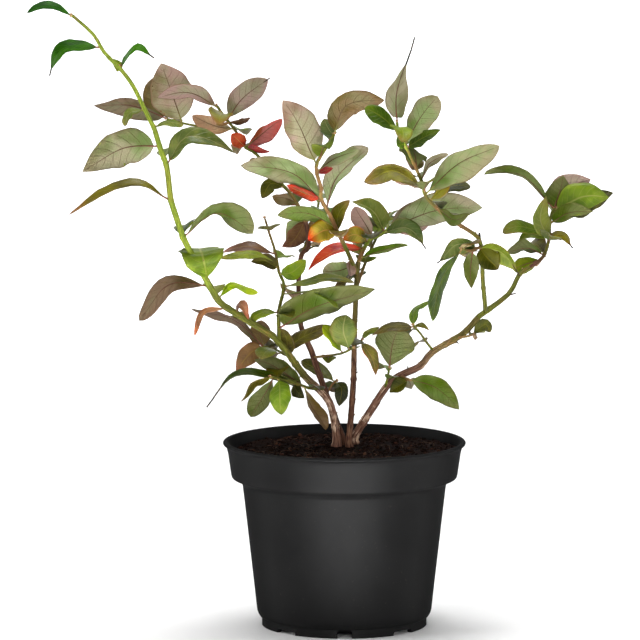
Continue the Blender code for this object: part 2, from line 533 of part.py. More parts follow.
def grown_path(limb, limbs, per):
    """The limb's own path. From a tip it carries straight on, from a side it starts at the bark."""
    if "grows" not in limb:
        path = smooth_path(limb["at"], per)
        return [path[0], path[0] + Vector((0.0, 0.0, 1.2))] + path[1:]
    parent, share = limb["grows"]
    route = limbs[parent]["path"]
    if share >= 1:
        tip, heading = route[-1], (route[-1] - route[-2]).normalized()
        path = smooth_path([route[-1 - per], tip] + [Vector(p) for p in limb["at"]], per)[per:]
        while len(path) > 2 and (path[1] - tip).dot(heading) < 2.5:
            path.pop(1)
        return [tip + heading * GAP, tip + heading * (GAP + 1.0)] + path[1:]
    point, heading = path_at(route, share)
    girth = limbs[parent]["girth"]
    radius = girth[0] + (girth[1] - girth[0]) * share
    out = (Vector(limb["at"][0]) - point).normalized()
    along = out.dot(heading)
    across = math.sqrt(max(0.05, 1 - along * along))
    start = point + out * (radius + GAP + limb["girth"][0] * abs(along)) / across
    return smooth_path([start] + [Vector(p) for p in limb["at"]], per)


def tube(name, path, girth, sides, group, flare=False):
    """A tapering tube on a path, with flat ends."""
    curve = bpy.data.curves.new(name, "CURVE")
    curve.dimensions = "3D"
    curve.bevel_depth = MM
    curve.bevel_resolution = sides
    curve.use_fill_caps = True
    spline = curve.splines.new("POLY")
    spline.points.add(len(path) - 1)
    length = path_length(path)
    run = 0.0
    for i, point in enumerate(path):
        if i:
            run += (path[i] - path[i - 1]).length
        radius = girth[0] + (girth[1] - girth[0]) * run / length
        if flare and run < FLARE_HEIGHT:
            radius *= 1 + (FLARE - 1) * (1 - run / FLARE_HEIGHT) ** 2
        spline.points[i].co = (*(point * MM), 1.0)
        spline.points[i].radius = radius
    obj = bpy.data.objects.new(name, curve)
    group.objects.link(obj)
    mesh = baked_mesh(obj)
    mesh.name = name
    bpy.data.objects.remove(obj)
    return mesh_object(name, mesh, group)


def leaf_spine(root, leaf, steps):
    """Points along a leaf from its root through its middle to its tip, each with heading, face and side."""
    path = smooth_path([root, leaf["middle"], leaf["tip"]], 8)
    points = [path_at(path, i / steps)[0] for i in range(steps + 1)]
    aheads = [(points[min(i + 1, steps)] - points[max(i - 1, 0)]).normalized() for i in range(steps + 1)]
    half = steps // 2
    upright = Vector((0.0, -0.25, 1.0))
    face = (upright - aheads[half] * upright.dot(aheads[half])).normalized()
    side = aheads[half].cross(face)
    sign = 1 if side.y > 1e-6 or (abs(side.y) <= 1e-6 and side.x > 0) else -1
    turn, twist = math.radians(leaf["turn"]) * sign, math.radians(leaf["twist"]) * sign
    faces = {half: face * math.cos(turn) + side * math.sin(turn)}
    for i in list(range(half + 1, steps + 1)) + list(range(half - 1, -1, -1)):
        last = faces[i - 1 if i > half else i + 1]
        faces[i] = (last - aheads[i] * last.dot(aheads[i])).normalized()
    spine = []
    for i in range(steps + 1):
        angle = twist * (i / steps - 0.5)
        up = faces[i] * math.cos(angle) + aheads[i].cross(faces[i]) * math.sin(angle)
        spine.append((points[i], aheads[i], up, aheads[i].cross(up)))
    return spine


def blade_half(t, widest):
    u = min(1.0, max(0.0, (t - STALK) / (1 - STALK)))
    rise, fall = BLADE_POWER * widest, BLADE_POWER * (1 - widest)
    return u ** rise * (1 - u) ** fall / (widest ** rise * (1 - widest) ** fall)


def leaf_shape(root, leaf, stalk, extra=0.0):
    """Corners and faces of a closed leaf: an edge, a ridge, an edge and a keel at each station."""
    fine = 20
    spine = leaf_spine(root, leaf, fine)
    fold = math.radians(leaf["fold"])
    corners = []
    thick = LEAF_THICKNESS / 2 + extra
    for t in STATIONS:
        i = min(fine - 1, int(t * fine))
        k = t * fine - i
        centre, up, across = (spine[i][j].lerp(spine[i + 1][j], k) for j in (0, 2, 3))
        half = max(stalk, leaf["width"] / 2 * blade_half(t, leaf["widest"])) + extra
        rise = half * math.sin(fold) if t > STALK else 0.0
        deep = min(thick, stalk + extra) if t < 0.05 else thick
        for sign in (-1, 1):
            corners.append(centre + across * sign * half * math.cos(fold) + up * rise)
            corners.append(centre + up * deep * -sign)
    corners.append(spine[-1][0] + spine[-1][1] * extra)
    last = len(corners) - 1
    faces = [(0, 1, 2), (0, 2, 3)]
    for ring in range(len(STATIONS) - 1):
        for i in range(4):
            a, b = ring * 4 + i, ring * 4 + (i + 1) % 4
            faces += [(a, a + 4, b + 4), (a, b + 4, b)]
    ring = 4 * (len(STATIONS) - 1)
    for i in range(4):
        faces.append((ring + i, last, ring + (i + 1) % 4))
    return corners, faces


def leaf_root(twig, place):
    length = path_length(twig["path"])
    share = min(place, 1 - 1.6 / length)
    point, _ = path_at(twig["path"], max(0.0, share))
    radius = twig["girth"][0] + (twig["girth"][1] - twig["girth"][0]) * share
    return point, min(0.8, radius * 0.72)


def dealt_leaves(twig):
    """More leaves along the twig, dealt from a seed to its back and its front."""
    count, length, seed = twig["more"]
    draw = random.Random(seed)
    leaves = []
    for i in range(count):
        place = (i + 0.6) / count
        root, _ = leaf_root(twig, place)
        to_front = (i + seed) % 3 == 0
        hour = math.radians(180 * to_front + draw.uniform(-DEALT_SPREAD, DEALT_SPREAD))
        lift = math.radians(draw.uniform(-6, 20) if to_front else draw.uniform(-20, 8))
        size = length * draw.uniform(0.8, 1.12)
        ahead = Vector((math.sin(hour) * math.cos(lift), math.cos(hour) * math.cos(lift), math.sin(lift)))
        middle = root + ahead * size * 0.5 + Vector((0.0, 0.0, size * draw.uniform(0.02, 0.12)))
        leaves.append((
            place, middle, root + ahead * size, size * draw.uniform(0.38, 0.48), draw.uniform(-25, 25),
            draw.uniform(-30, 30), draw.uniform(8, 16), draw.uniform(0.45, 0.6),
            DEALT_TINTS[draw.randrange(len(DEALT_TINTS))]))
    return leaves


def overlap(shape, owner, taken):
    tree = BVHTree.FromPolygons(*shape)
    return any(name != owner and tree.overlap(other) for name, other in taken)


def clear_leaf(root, leaf, stalk, owner, taken, seed):
    """The leaf as given, or turned a little aside until it is clear of every other node."""
    draw = random.Random(seed)
    for attempt in range(TRIES):
        wide = attempt / TRIES
        swing = Euler([math.radians(draw.uniform(-a, a)) * wide for a in (24, 24, 45)]).to_matrix()
        trial = dict(leaf)
        for end in ("middle", "tip"):
            trial[end] = root + swing @ (Vector(leaf[end]) - root) * (1 - 0.25 * wide)
        trial["turn"] += draw.uniform(-30, 30) * wide
        if not overlap(leaf_shape(root, trial, stalk, 0.35), owner, taken):
            return trial
    return None


def tube_shape(path, girth, sides, flare=False):
    """Corners and faces of a plain tapering tube, a little fat, for telling what would touch it."""
    length = path_length(path)
    ahead = (path[1] - path[0]).normalized()
    flat = ahead.cross(Vector((0.31, 0.17, 0.94) if abs(ahead.z) < 0.9 else (0.2, 0.97, 0.1))).normalized()
    corners, faces, run = [], [], 0.0
    for i, point in enumerate(path):
        run += (point - path[i - 1]).length if i else 0.0
        radius = (girth[0] + (girth[1] - girth[0]) * run / length) * 1.08
        if flare and run < FLARE_HEIGHT:
            radius *= 1 + (FLARE - 1) * (1 - run / FLARE_HEIGHT) ** 2
        ahead = (path[min(i + 1, len(path) - 1)] - path[max(i - 1, 0)]).normalized()
        flat = (flat - ahead * flat.dot(ahead)).normalized()
        up = ahead.cross(flat)
        for k in range(sides):
            angle = 2 * math.pi * k / sides
            corners.append(point + (flat * math.cos(angle) + up * math.sin(angle)) * radius)
    for i in range(len(path) - 1):
        for k in range(sides):
            a, b = i * sides + k, i * sides + (k + 1) % sides
            faces += [(a, b, b + sides), (a, b + sides, a + sides)]
    last = (len(path) - 1) * sides
    for k in range(1, sides - 1):
        faces += [(0, k + 1, k), (last, last + k, last + k + 1)]
    return corners, faces


def join_mass(name, twigs, shapes, group, material):
    """One Boolean union of a mass's twigs and leaves, with loose scraps dropped."""
    extra = make_collection(name + " parts")
    base = twigs[0]
    for obj in twigs[1:]:
        group.objects.unlink(obj)
        extra.objects.link(obj)
    for corners, faces in shapes:
        mesh = bpy.data.meshes.new("leaf")
        mesh.from_pydata([c * MM for c in corners], [], faces)
        work = bmesh.new()
        work.from_mesh(mesh)
        bmesh.ops.recalc_face_normals(work, faces=work.faces)
        work.to_mesh(mesh)
        work.free()
        mesh_object("leaf", mesh, extra)
    solid = None
    for solver in ("EXACT", "MANIFOLD"):
        union = boolean(base, extra, "UNION", solver)
        mesh = baked_mesh(base, 0.0000002)
        base.modifiers.remove(union)
        work = bmesh.new()
        work.from_mesh(mesh)
        drop_scraps(work)
        open_edges = sum(1 for e in work.edges if len(e.link_faces) != 2)
        work.to_mesh(mesh)
        work.free()
        if not open_edges:
            solid = mesh
            break
        print("open edges in", name, solver, open_edges)
    for obj in list(extra.objects):
        bpy.data.objects.remove(obj)
    bpy.data.collections.remove(extra)
    bpy.data.objects.remove(base)
    solid.name = name
    obj = mesh_object(name, solid, group, material)
    obj.data.shade_smooth()
    obj.data.set_sharp_from_angle(angle=math.radians(40))
    return obj


def drop_scraps(work):
    """Keep only the biggest connected piece."""
    seen = set()
    pieces = []
    for first in work.verts:
        if first in seen:
            continue
        seen.add(first)
        piece, queue = [first], [first]
        while queue:
            vert = queue.pop()
            for edge in vert.link_edges:
                other = edge.other_vert(vert)
                if other not in seen:
                    seen.add(other)
                    piece.append(other)
                    queue.append(other)
        pieces.append(piece)
    pieces.sort(key=len)
    for piece in pieces[:-1]:
        bmesh.ops.delete(work, geom=piece, context="VERTS")


reset_scene()
bush = make_collection("blueberry bush in a pot")
cutters = make_collection("cutters")
build_pot(bush, cutters)
build_soil(bush)

limbs = {}
taken = []
for name, limb in {**STEMS, **BOUGHS}.items():
    limb["path"] = grown_path(limb, limbs, 3)
    limbs[name] = limb
    obj = tube(name, limb["path"], limb["girth"], 1, bush, flare=name in STEMS)
    obj.data.materials.append(make_material(name, limb["colour"], 0.7))
    obj.data.shade_smooth()
    obj.data.set_sharp_from_angle(angle=math.radians(65))
    taken.append((name, BVHTree.FromPolygons(*tube_shape(limb["path"], limb["girth"], 8, name in STEMS))))

masses = {}
for name, twigs in MASSES.items():
    tubes = []
    for twig in twigs:
        twig["path"] = grown_path(twig, limbs, 3)
        obj = tube(name, twig["path"], twig["girth"], 0, bush)
        tubes.append(obj)
        taken.append((name, BVHTree.FromPolygons(*tube_shape(twig["path"], twig["girth"], 8))))
    limbs[name] = twigs[0]
    masses[name] = tubes

placed = {name: [] for name in MASSES}
skipped = 0
for stage in ("leaves", "more"):
    for name, twigs in MASSES.items():
        for number, twig in enumerate(twigs):
            rows = twig["leaves"] if stage == "leaves" else dealt_leaves(twig)
            for i, row in enumerate(rows):
                leaf = dict(zip(LEAF_WORDS, row))
                root, stalk = leaf_root(twig, leaf["place"])
                seed = 1000 * (stage == "more") + 100 * number + i
                leaf = clear_leaf(root, leaf, stalk, name, taken, seed)
                if leaf is None:
                    skipped += 1
                    print("skipped", name, stage, i)
                    continue
                shape = leaf_shape(root, leaf, stalk)
                placed[name].append((shape, leaf["tint"]))
                taken.append((name, BVHTree.FromPolygons(*shape)))

for name, tubes in masses.items():
    tints = [tint for _, tint in placed[name]]
    main = max(sorted(set(tints)), key=tints.count) if tints else "green"
    join_mass(name, tubes, [shape for shape, _ in placed[name]], bush, make_material(name, TINTS[main], 0.5))
print("leaves", sum(len(v) for v in placed.values()), "skipped", skipped)
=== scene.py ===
import math
import random

import bmesh
import bpy
from mathutils import Euler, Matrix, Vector, noise
from mathutils.bvhtree import BVHTree


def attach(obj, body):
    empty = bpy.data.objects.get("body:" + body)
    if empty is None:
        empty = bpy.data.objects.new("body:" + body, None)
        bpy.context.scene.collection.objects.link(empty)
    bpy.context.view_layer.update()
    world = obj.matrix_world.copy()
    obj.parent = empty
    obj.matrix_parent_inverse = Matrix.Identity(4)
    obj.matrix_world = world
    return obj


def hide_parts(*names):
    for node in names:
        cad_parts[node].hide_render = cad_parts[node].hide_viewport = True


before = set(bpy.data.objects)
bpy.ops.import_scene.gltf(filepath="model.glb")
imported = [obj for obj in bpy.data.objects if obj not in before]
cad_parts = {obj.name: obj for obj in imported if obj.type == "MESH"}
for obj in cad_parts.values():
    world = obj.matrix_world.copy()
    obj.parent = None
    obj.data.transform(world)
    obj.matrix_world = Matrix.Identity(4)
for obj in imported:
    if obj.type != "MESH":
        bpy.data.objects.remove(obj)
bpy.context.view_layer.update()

mm = 0.001
fullTurn = 2 * math.pi

studio = {
    "cameraAt": (-0.019, -4.0, 0.748), "lookAt": (-0.019, 0.0, 0.240), "lens": 291.3, "farthest": 30.0,
    # a round floor that bends up into a low wall, and glows white between two distances from the pot
    "floorTone": (0.86, 0.86, 0.86), "reach": 11.0, "rise": 3.4, "bend": 1.2, "bendSteps": 10, "sides": 72,
    "flatRings": (0.08, 0.2, 0.4, 0.7), "glowFrom": (0.7, 2.6),
    "daylight": 0.30,
    # name: place, aim, size, power, tone
    "lamps": {
        "front softbox": ((-0.7, -2.4, 1.7), (0.0, 0.0, 0.25), (0.6, 0.6), 9.0, (1.0, 0.99, 0.97)),
        "low strip": ((0.0, -2.4, 0.16), (0.0, 0.0, 0.1), (0.9, 0.28), 16.0, (1.0, 1.0, 1.0)),
        "left softbox": ((-1.6, -0.6, 2.0), (0.0, 0.0, 0.3), (0.7, 0.7), 15.0, (1.0, 1.0, 1.0)),
        "right softbox": ((1.9, -0.3, 1.6), (0.0, 0.0, 0.3), (0.9, 0.9), 6.0, (0.98, 0.99, 1.0)),
        "top softbox": ((0.0, 0.4, 2.4), (0.0, 0.0, 0.2), (1.2, 1.2), 58.0, (1.0, 1.0, 1.0)),
    },
    # a spot that brightens the floor before the pot, for the soft light down the middle of its wall
    "pool": {"at": (0.0, -0.33, 1.4), "cone": 15.0, "power": 950.0, "wider": 1.9},
}


def placed(name, data, at, aim=None):
    # a new object in the scene, turned to look at a spot
    obj = bpy.data.objects.new(name, data)
    obj.location = at
    if aim:
        obj.rotation_euler = (Vector(aim) - Vector(at)).to_track_quat("-Z", "Y").to_euler()
    bpy.context.scene.collection.objects.link(obj)
    return obj


def buildCamera():
    camera = bpy.data.cameras.new("camera")
    camera.lens, camera.clip_end = studio["lens"], studio["farthest"]
    bpy.context.scene.camera = placed("camera", camera, studio["cameraAt"], studio["lookAt"])


def buildFloor():
    reach, bend, steps, sides = (studio[word] for word in ("reach", "bend", "bendSteps", "sides"))
    outline = [(reach * share, 0.0) for share in studio["flatRings"]]
    for i in range(1, steps + 1):
        angle = math.pi / 2 * i / steps
        outline.append((reach - bend + bend * math.sin(angle), bend - bend * math.cos(angle)))
    outline.append((reach, studio["rise"]))
    corners = [(*onCircle(r, fullTurn * k / sides), z) for r, z in outline for k in range(sides)]
    mesh = bpy.data.meshes.new("floor")
    mesh.from_pydata(corners, [], [list(range(sides))] + ringQuads(len(outline) - 1, sides, True))
    mesh.shade_smooth()
    paper = Shop("studio paper", Roughness=0.9)
    paper.fix("Base Color", studio["floorTone"])
    paper.fix("Emission Strength", 1.0)
    x, y, _ = paper.parts(paper.spot())
    glow = paper.fade((x * x + y * y).maths("SQRT"), *studio["glowFrom"])
    paper.feed("Emission Color", paper.joined(glow, glow, glow))
    mesh.materials.append(paper.material)
    placed("floor", mesh, (0.0, 0.0, 0.0))


def buildLamps():
    for name, (at, aim, size, power, tone) in studio["lamps"].items():
        lamp = bpy.data.lights.new(name, "AREA")
        lamp.shape, lamp.energy, lamp.color = "RECTANGLE", power, tone
        lamp.size, lamp.size_y = size
        placed(name, lamp, at, aim).visible_camera = False
    pool = studio["pool"]
    lamp = bpy.data.lights.new("floor pool", "SPOT")
    lamp.spot_size, lamp.spot_blend, lamp.energy = math.radians(pool["cone"]), 1.0, pool["power"]
    placed("floor pool", lamp, pool["at"]).scale = (pool["wider"], 1.0, 1.0)
    world = bpy.data.worlds.new("soft daylight")
    world.use_nodes = True
    sky = world.node_tree.nodes["Background"].inputs
    sky["Color"].default_value = (1.0, 1.0, 1.0, 1.0)
    sky["Strength"].default_value = studio["daylight"]
    bpy.context.scene.world = world
    bpy.context.scene.view_settings.view_transform = "Standard"


class Wire:
    # an output socket that sums can be written with
    def __init__(self, shop, socket):
        self.shop, self.socket = shop, socket

    def maths(self, how, *others):
        return self.shop.add("ShaderNodeMath", {"operation": how}, [self, *others])

    def __add__(self, other):
        return self.maths("ADD", other)

    def __sub__(self, other):
        return self.maths("SUBTRACT", other)

    def __rsub__(self, other):
        return self.shop.add("ShaderNodeMath", {"operation": "SUBTRACT"}, [other, self])

    def __mul__(self, other):
        return self.maths("MULTIPLY", other)

    def __abs__(self):
        return self.maths("ABSOLUTE")

    __radd__ = __add__
    __rmul__ = __mul__


class Shop:
    # one material and its nodes; the fixed values go straight on the shader's sockets
    def __init__(self, name, **fixed):
        self.material = bpy.data.materials.new(name)
        self.material.use_nodes = True
        self.nodes = self.material.node_tree.nodes
        self.links = self.material.node_tree.links
        self.shader = self.nodes["Principled BSDF"]
        for socket, value in fixed.items():
            self.fix(socket, value)

    def fix(self, socket, value):
        self.shader.inputs[socket].default_value = (*value, 1.0) if isinstance(value, tuple) else value

    def add(self, kind, settings, sockets=(), out=0):
        node = self.nodes.new(kind)
        for key, value in settings.items():
            setattr(node, key, value)
        pairs = sockets.items() if isinstance(sockets, dict) else enumerate(sockets)
        for key, value in pairs:
            if isinstance(value, Wire):
                self.links.new(value.socket, node.inputs[key])
            elif isinstance(value, tuple) and node.inputs[key].type == "RGBA":
                node.inputs[key].default_value = (*value, 1.0)
            else:
                node.inputs[key].default_value = value
        return Wire(self, node.outputs[out])

    def mixed(self, share, under, over):
        return self.add("ShaderNodeMix", {"data_type": "RGBA"}, {0: share, 6: under, 7: over}, 2)

    def fade(self, value, low, high, start=0.0, end=1.0):
        return self.add("ShaderNodeMapRange", {"interpolation_type": "SMOOTHSTEP"},
                        {"Value": value, "From Min": low, "From Max": high, "To Min": start, "To Max": end})

    def cloud(self, place, scale, detail=3.0, rough=0.55):
        return self.add("ShaderNodeTexNoise", {},
                        {"Vector": place, "Scale": scale, "Detail": detail, "Roughness": rough})

    def spot(self):
        return self.add("ShaderNodeTexCoord", {}, (), "Object")

    def parts(self, vector):
        return [self.add("ShaderNodeSeparateXYZ", {}, [vector], k) for k in range(3)]

    def chart(self, name):
        # a UV map's two numbers
        return self.parts(self.add("ShaderNodeUVMap", {"uv_map": name}))[:2]

    def joined(self, x, y, z=0.0):
        return self.add("ShaderNodeCombineXYZ", {}, [x, y, z])

    def toned(self, colour, hue, saturation, value):
        return self.add("ShaderNodeHueSaturation", {},
                        {"Hue": hue, "Saturation": saturation, "Value": value, "Color": colour})

    def feed(self, socket, wire):
        self.links.new(wire.socket, self.shader.inputs[socket])

    def relief(self, height, strength, depth):
        bump = {"Height": height, "Strength": strength, "Distance": depth}
        self.feed("Normal", self.add("ShaderNodeBump", {}, bump))


class Piece:
    # gathers corners and faces, then makes one mesh of them
    charts = ("blade", "lot", "OFBake")

    def __init__(self, name):
        self.name = name
        self.corners, self.faces, self.slots, self.maps = [], [], [], []

    def put(self, corners, faces, slot, charts=None):
        first = len(self.corners)
        self.corners.extend(corners)
        for i, face in enumerate(faces):
            self.faces.append([first + k for k in face])
            self.slots.append(slot if isinstance(slot, int) else slot[i])
            self.maps.append(charts[i] if charts else None)

    def make(self, materials, bodySlot, replaced):
        mesh = bpy.data.meshes.new(self.name)
        mesh.from_pydata([(x * mm, y * mm, z * mm) for x, y, z in self.corners], [], self.faces)
        for material in materials:
            mesh.materials.append(material)
        mesh.polygons.foreach_set("material_index", self.slots)
        if self.maps[0] is not None:
            for number in range(len(self.maps[0][0])):
                layer = mesh.uv_layers.new(name=self.charts[number], do_init=False)
                spots = [part for chart in self.maps for corner in chart for part in corner[number]]
                layer.data.foreach_set("uv", spots)
        mesh.shade_smooth()
        mesh.update()
        obj = bpy.data.objects.new(self.name, mesh)
        bpy.context.scene.collection.objects.link(obj)
        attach(obj, "root")
        if replaced:
            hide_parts(*replaced)
        return obj


def onCircle(radius, angle):
    return radius * math.cos(angle), radius * math.sin(angle)


def ringQuads(rings, sides, turned=False, first=0):
    # the faces between rings of corners that follow each other
    quads = []
    for r in range(rings):
        for k in range(sides):
            a, b = first + r * sides + k, first + r * sides + (k + 1) % sides
            quads.append([a, a + sides, b + sides, b] if turned else [a, b, b + sides, a + sides])
    return quads


def halved(quads):
    return [half for a, b, c, d in quads for half in ((a, b, c), (a, c, d))]


def ringRound(centre, flat, up, radius, sides, turn=0.0):
    angles = [fullTurn * k / sides + turn for k in range(sides)]
    return [centre + (flat * math.cos(a) + up * math.sin(a)) * radius for a in angles]


def plainCharts(faces, lot=(0.5, 0.5)):
    return [[((0.5, 0.5), lot)] * len(face) for face in faces]


def squareTo(ahead, vector):
    # what is left of a vector square to a heading
    return (vector - ahead * vector.dot(ahead)).normalized()


def sideways(heading):
    # two directions square to a heading
    flat = heading.cross(Vector((0.0, 0.0, 1.0)))
    if flat.length < 0.2:
        flat = heading.cross(Vector((0.0, 1.0, 0.0)))
    flat.normalize()
    return flat, flat.cross(heading).normalized()


def headingAt(path, i):
    return (path[min(i + 1, len(path) - 1)] - path[max(i - 1, 0)]).normalized()


def carried(path, flat):
    # frames carried along a path without twisting
    frames = []
    for i, point in enumerate(path):
        ahead = headingAt(path, i)
        flat = squareTo(ahead, flat)
        frames.append((point, ahead, flat, ahead.cross(flat)))
    return frames


def runsAlong(path):
    runs = [0.0]
    for a, b in zip(path, path[1:]):
        runs.append(runs[-1] + (b - a).length)
    return runs


def evenly(path, step):
    # the same path with points about one step apart
    runs = runsAlong(path)
    count = max(3, int(round(runs[-1] / step)))
    points, i = [], 0
    for k in range(count + 1):
        want = runs[-1] * k / count
        while i < len(path) - 2 and runs[i + 1] < want:
            i += 1
        share = (want - runs[i]) / max(1e-6, runs[i + 1] - runs[i])
        points.append(path[i].lerp(path[i + 1], min(1.0, max(0.0, share))))
    return points, runs[-1]


# how the bush grows, in millimetres, by the same rule as the CAD model
growth = {
    "gap": 0.35, "flareHeight": 13.0, "flare": 1.45, "stalk": 0.07, "power": 1.57, "thickness": 1.2,
    "stations": (0.0, 0.09, 0.27, 0.52, 0.78), "spread": 18.0, "tries": 14, "stretch": 3, "fine": 20,
    # how far a leaf may be swung and turned to come clear, and the room that it keeps
    "swing": (24, 24, 45), "turning": 30, "shrink": 0.25, "room": 0.35, "fat": 1.08, "testSides": 8,
}
# clock hours count round the bush from above: 12 is to the back, 3 to the right, 6 to the front
stems = {
    "left_stem": dict(girth=(3.1, 2.4),
        at=[(-6, 8, 139.4), (-6, 8, 146), (-9, 9, 166), (-15, 9, 179), (-31, 0, 196), (-44, -6, 215),
            (-55, -10, 228)]),
    "brown_stem": dict(girth=(2.6, 1.6),
        at=[(-1, 16, 139.4), (-2, 16, 146), (-9, 17, 165), (-16, 19, 184), (-26, 25, 213), (-34, 34, 231),
            (-36, 49, 260), (-34, 62, 283), (-28, 67, 290), (-30, 77, 308)]),
    "middle_stem": dict(girth=(2.3, 2),
        at=[(4, 5, 139.4), (4, 5, 148), (7, 10, 188), (8, 14, 231), (10, 17, 275), (11, 18, 283)]),
    "right_stem": dict(girth=(3.1, 2.3),
        at=[(8, 20, 139.4), (8, 20, 145), (15, 17, 157), (32, 10, 185), (43, 8, 195), (59, 4, 203), (69, 2, 215),
            (91, 0, 228), (104, 0, 242)]),
}
boughs = {
    "right_bough": dict(grows=("right_stem", 1), girth=(2.2, 1.7),
        at=[(128, 16, 258), (137, 28, 272), (145, 35, 277)]),
    "upright_bough": dict(grows=("right_bough", 0.12), girth=(1.8, 1.6),
        at=[(109, -8, 255), (107, -16, 274), (106, -24, 297), (104, -32, 306)]),
    "upper_right_bough": dict(grows=("upright_bough", 1), girth=(1.6, 1.4),
        at=[(99, -38, 312), (85, -54, 322), (78, -62, 327)]),
}
# a leaf: place along the twig, middle, tip, width, turn of its face, twist, fold, where it is widest, tint
leafWords = ("place", "middle", "tip", "width", "turn", "twist", "fold", "widest", "tint")
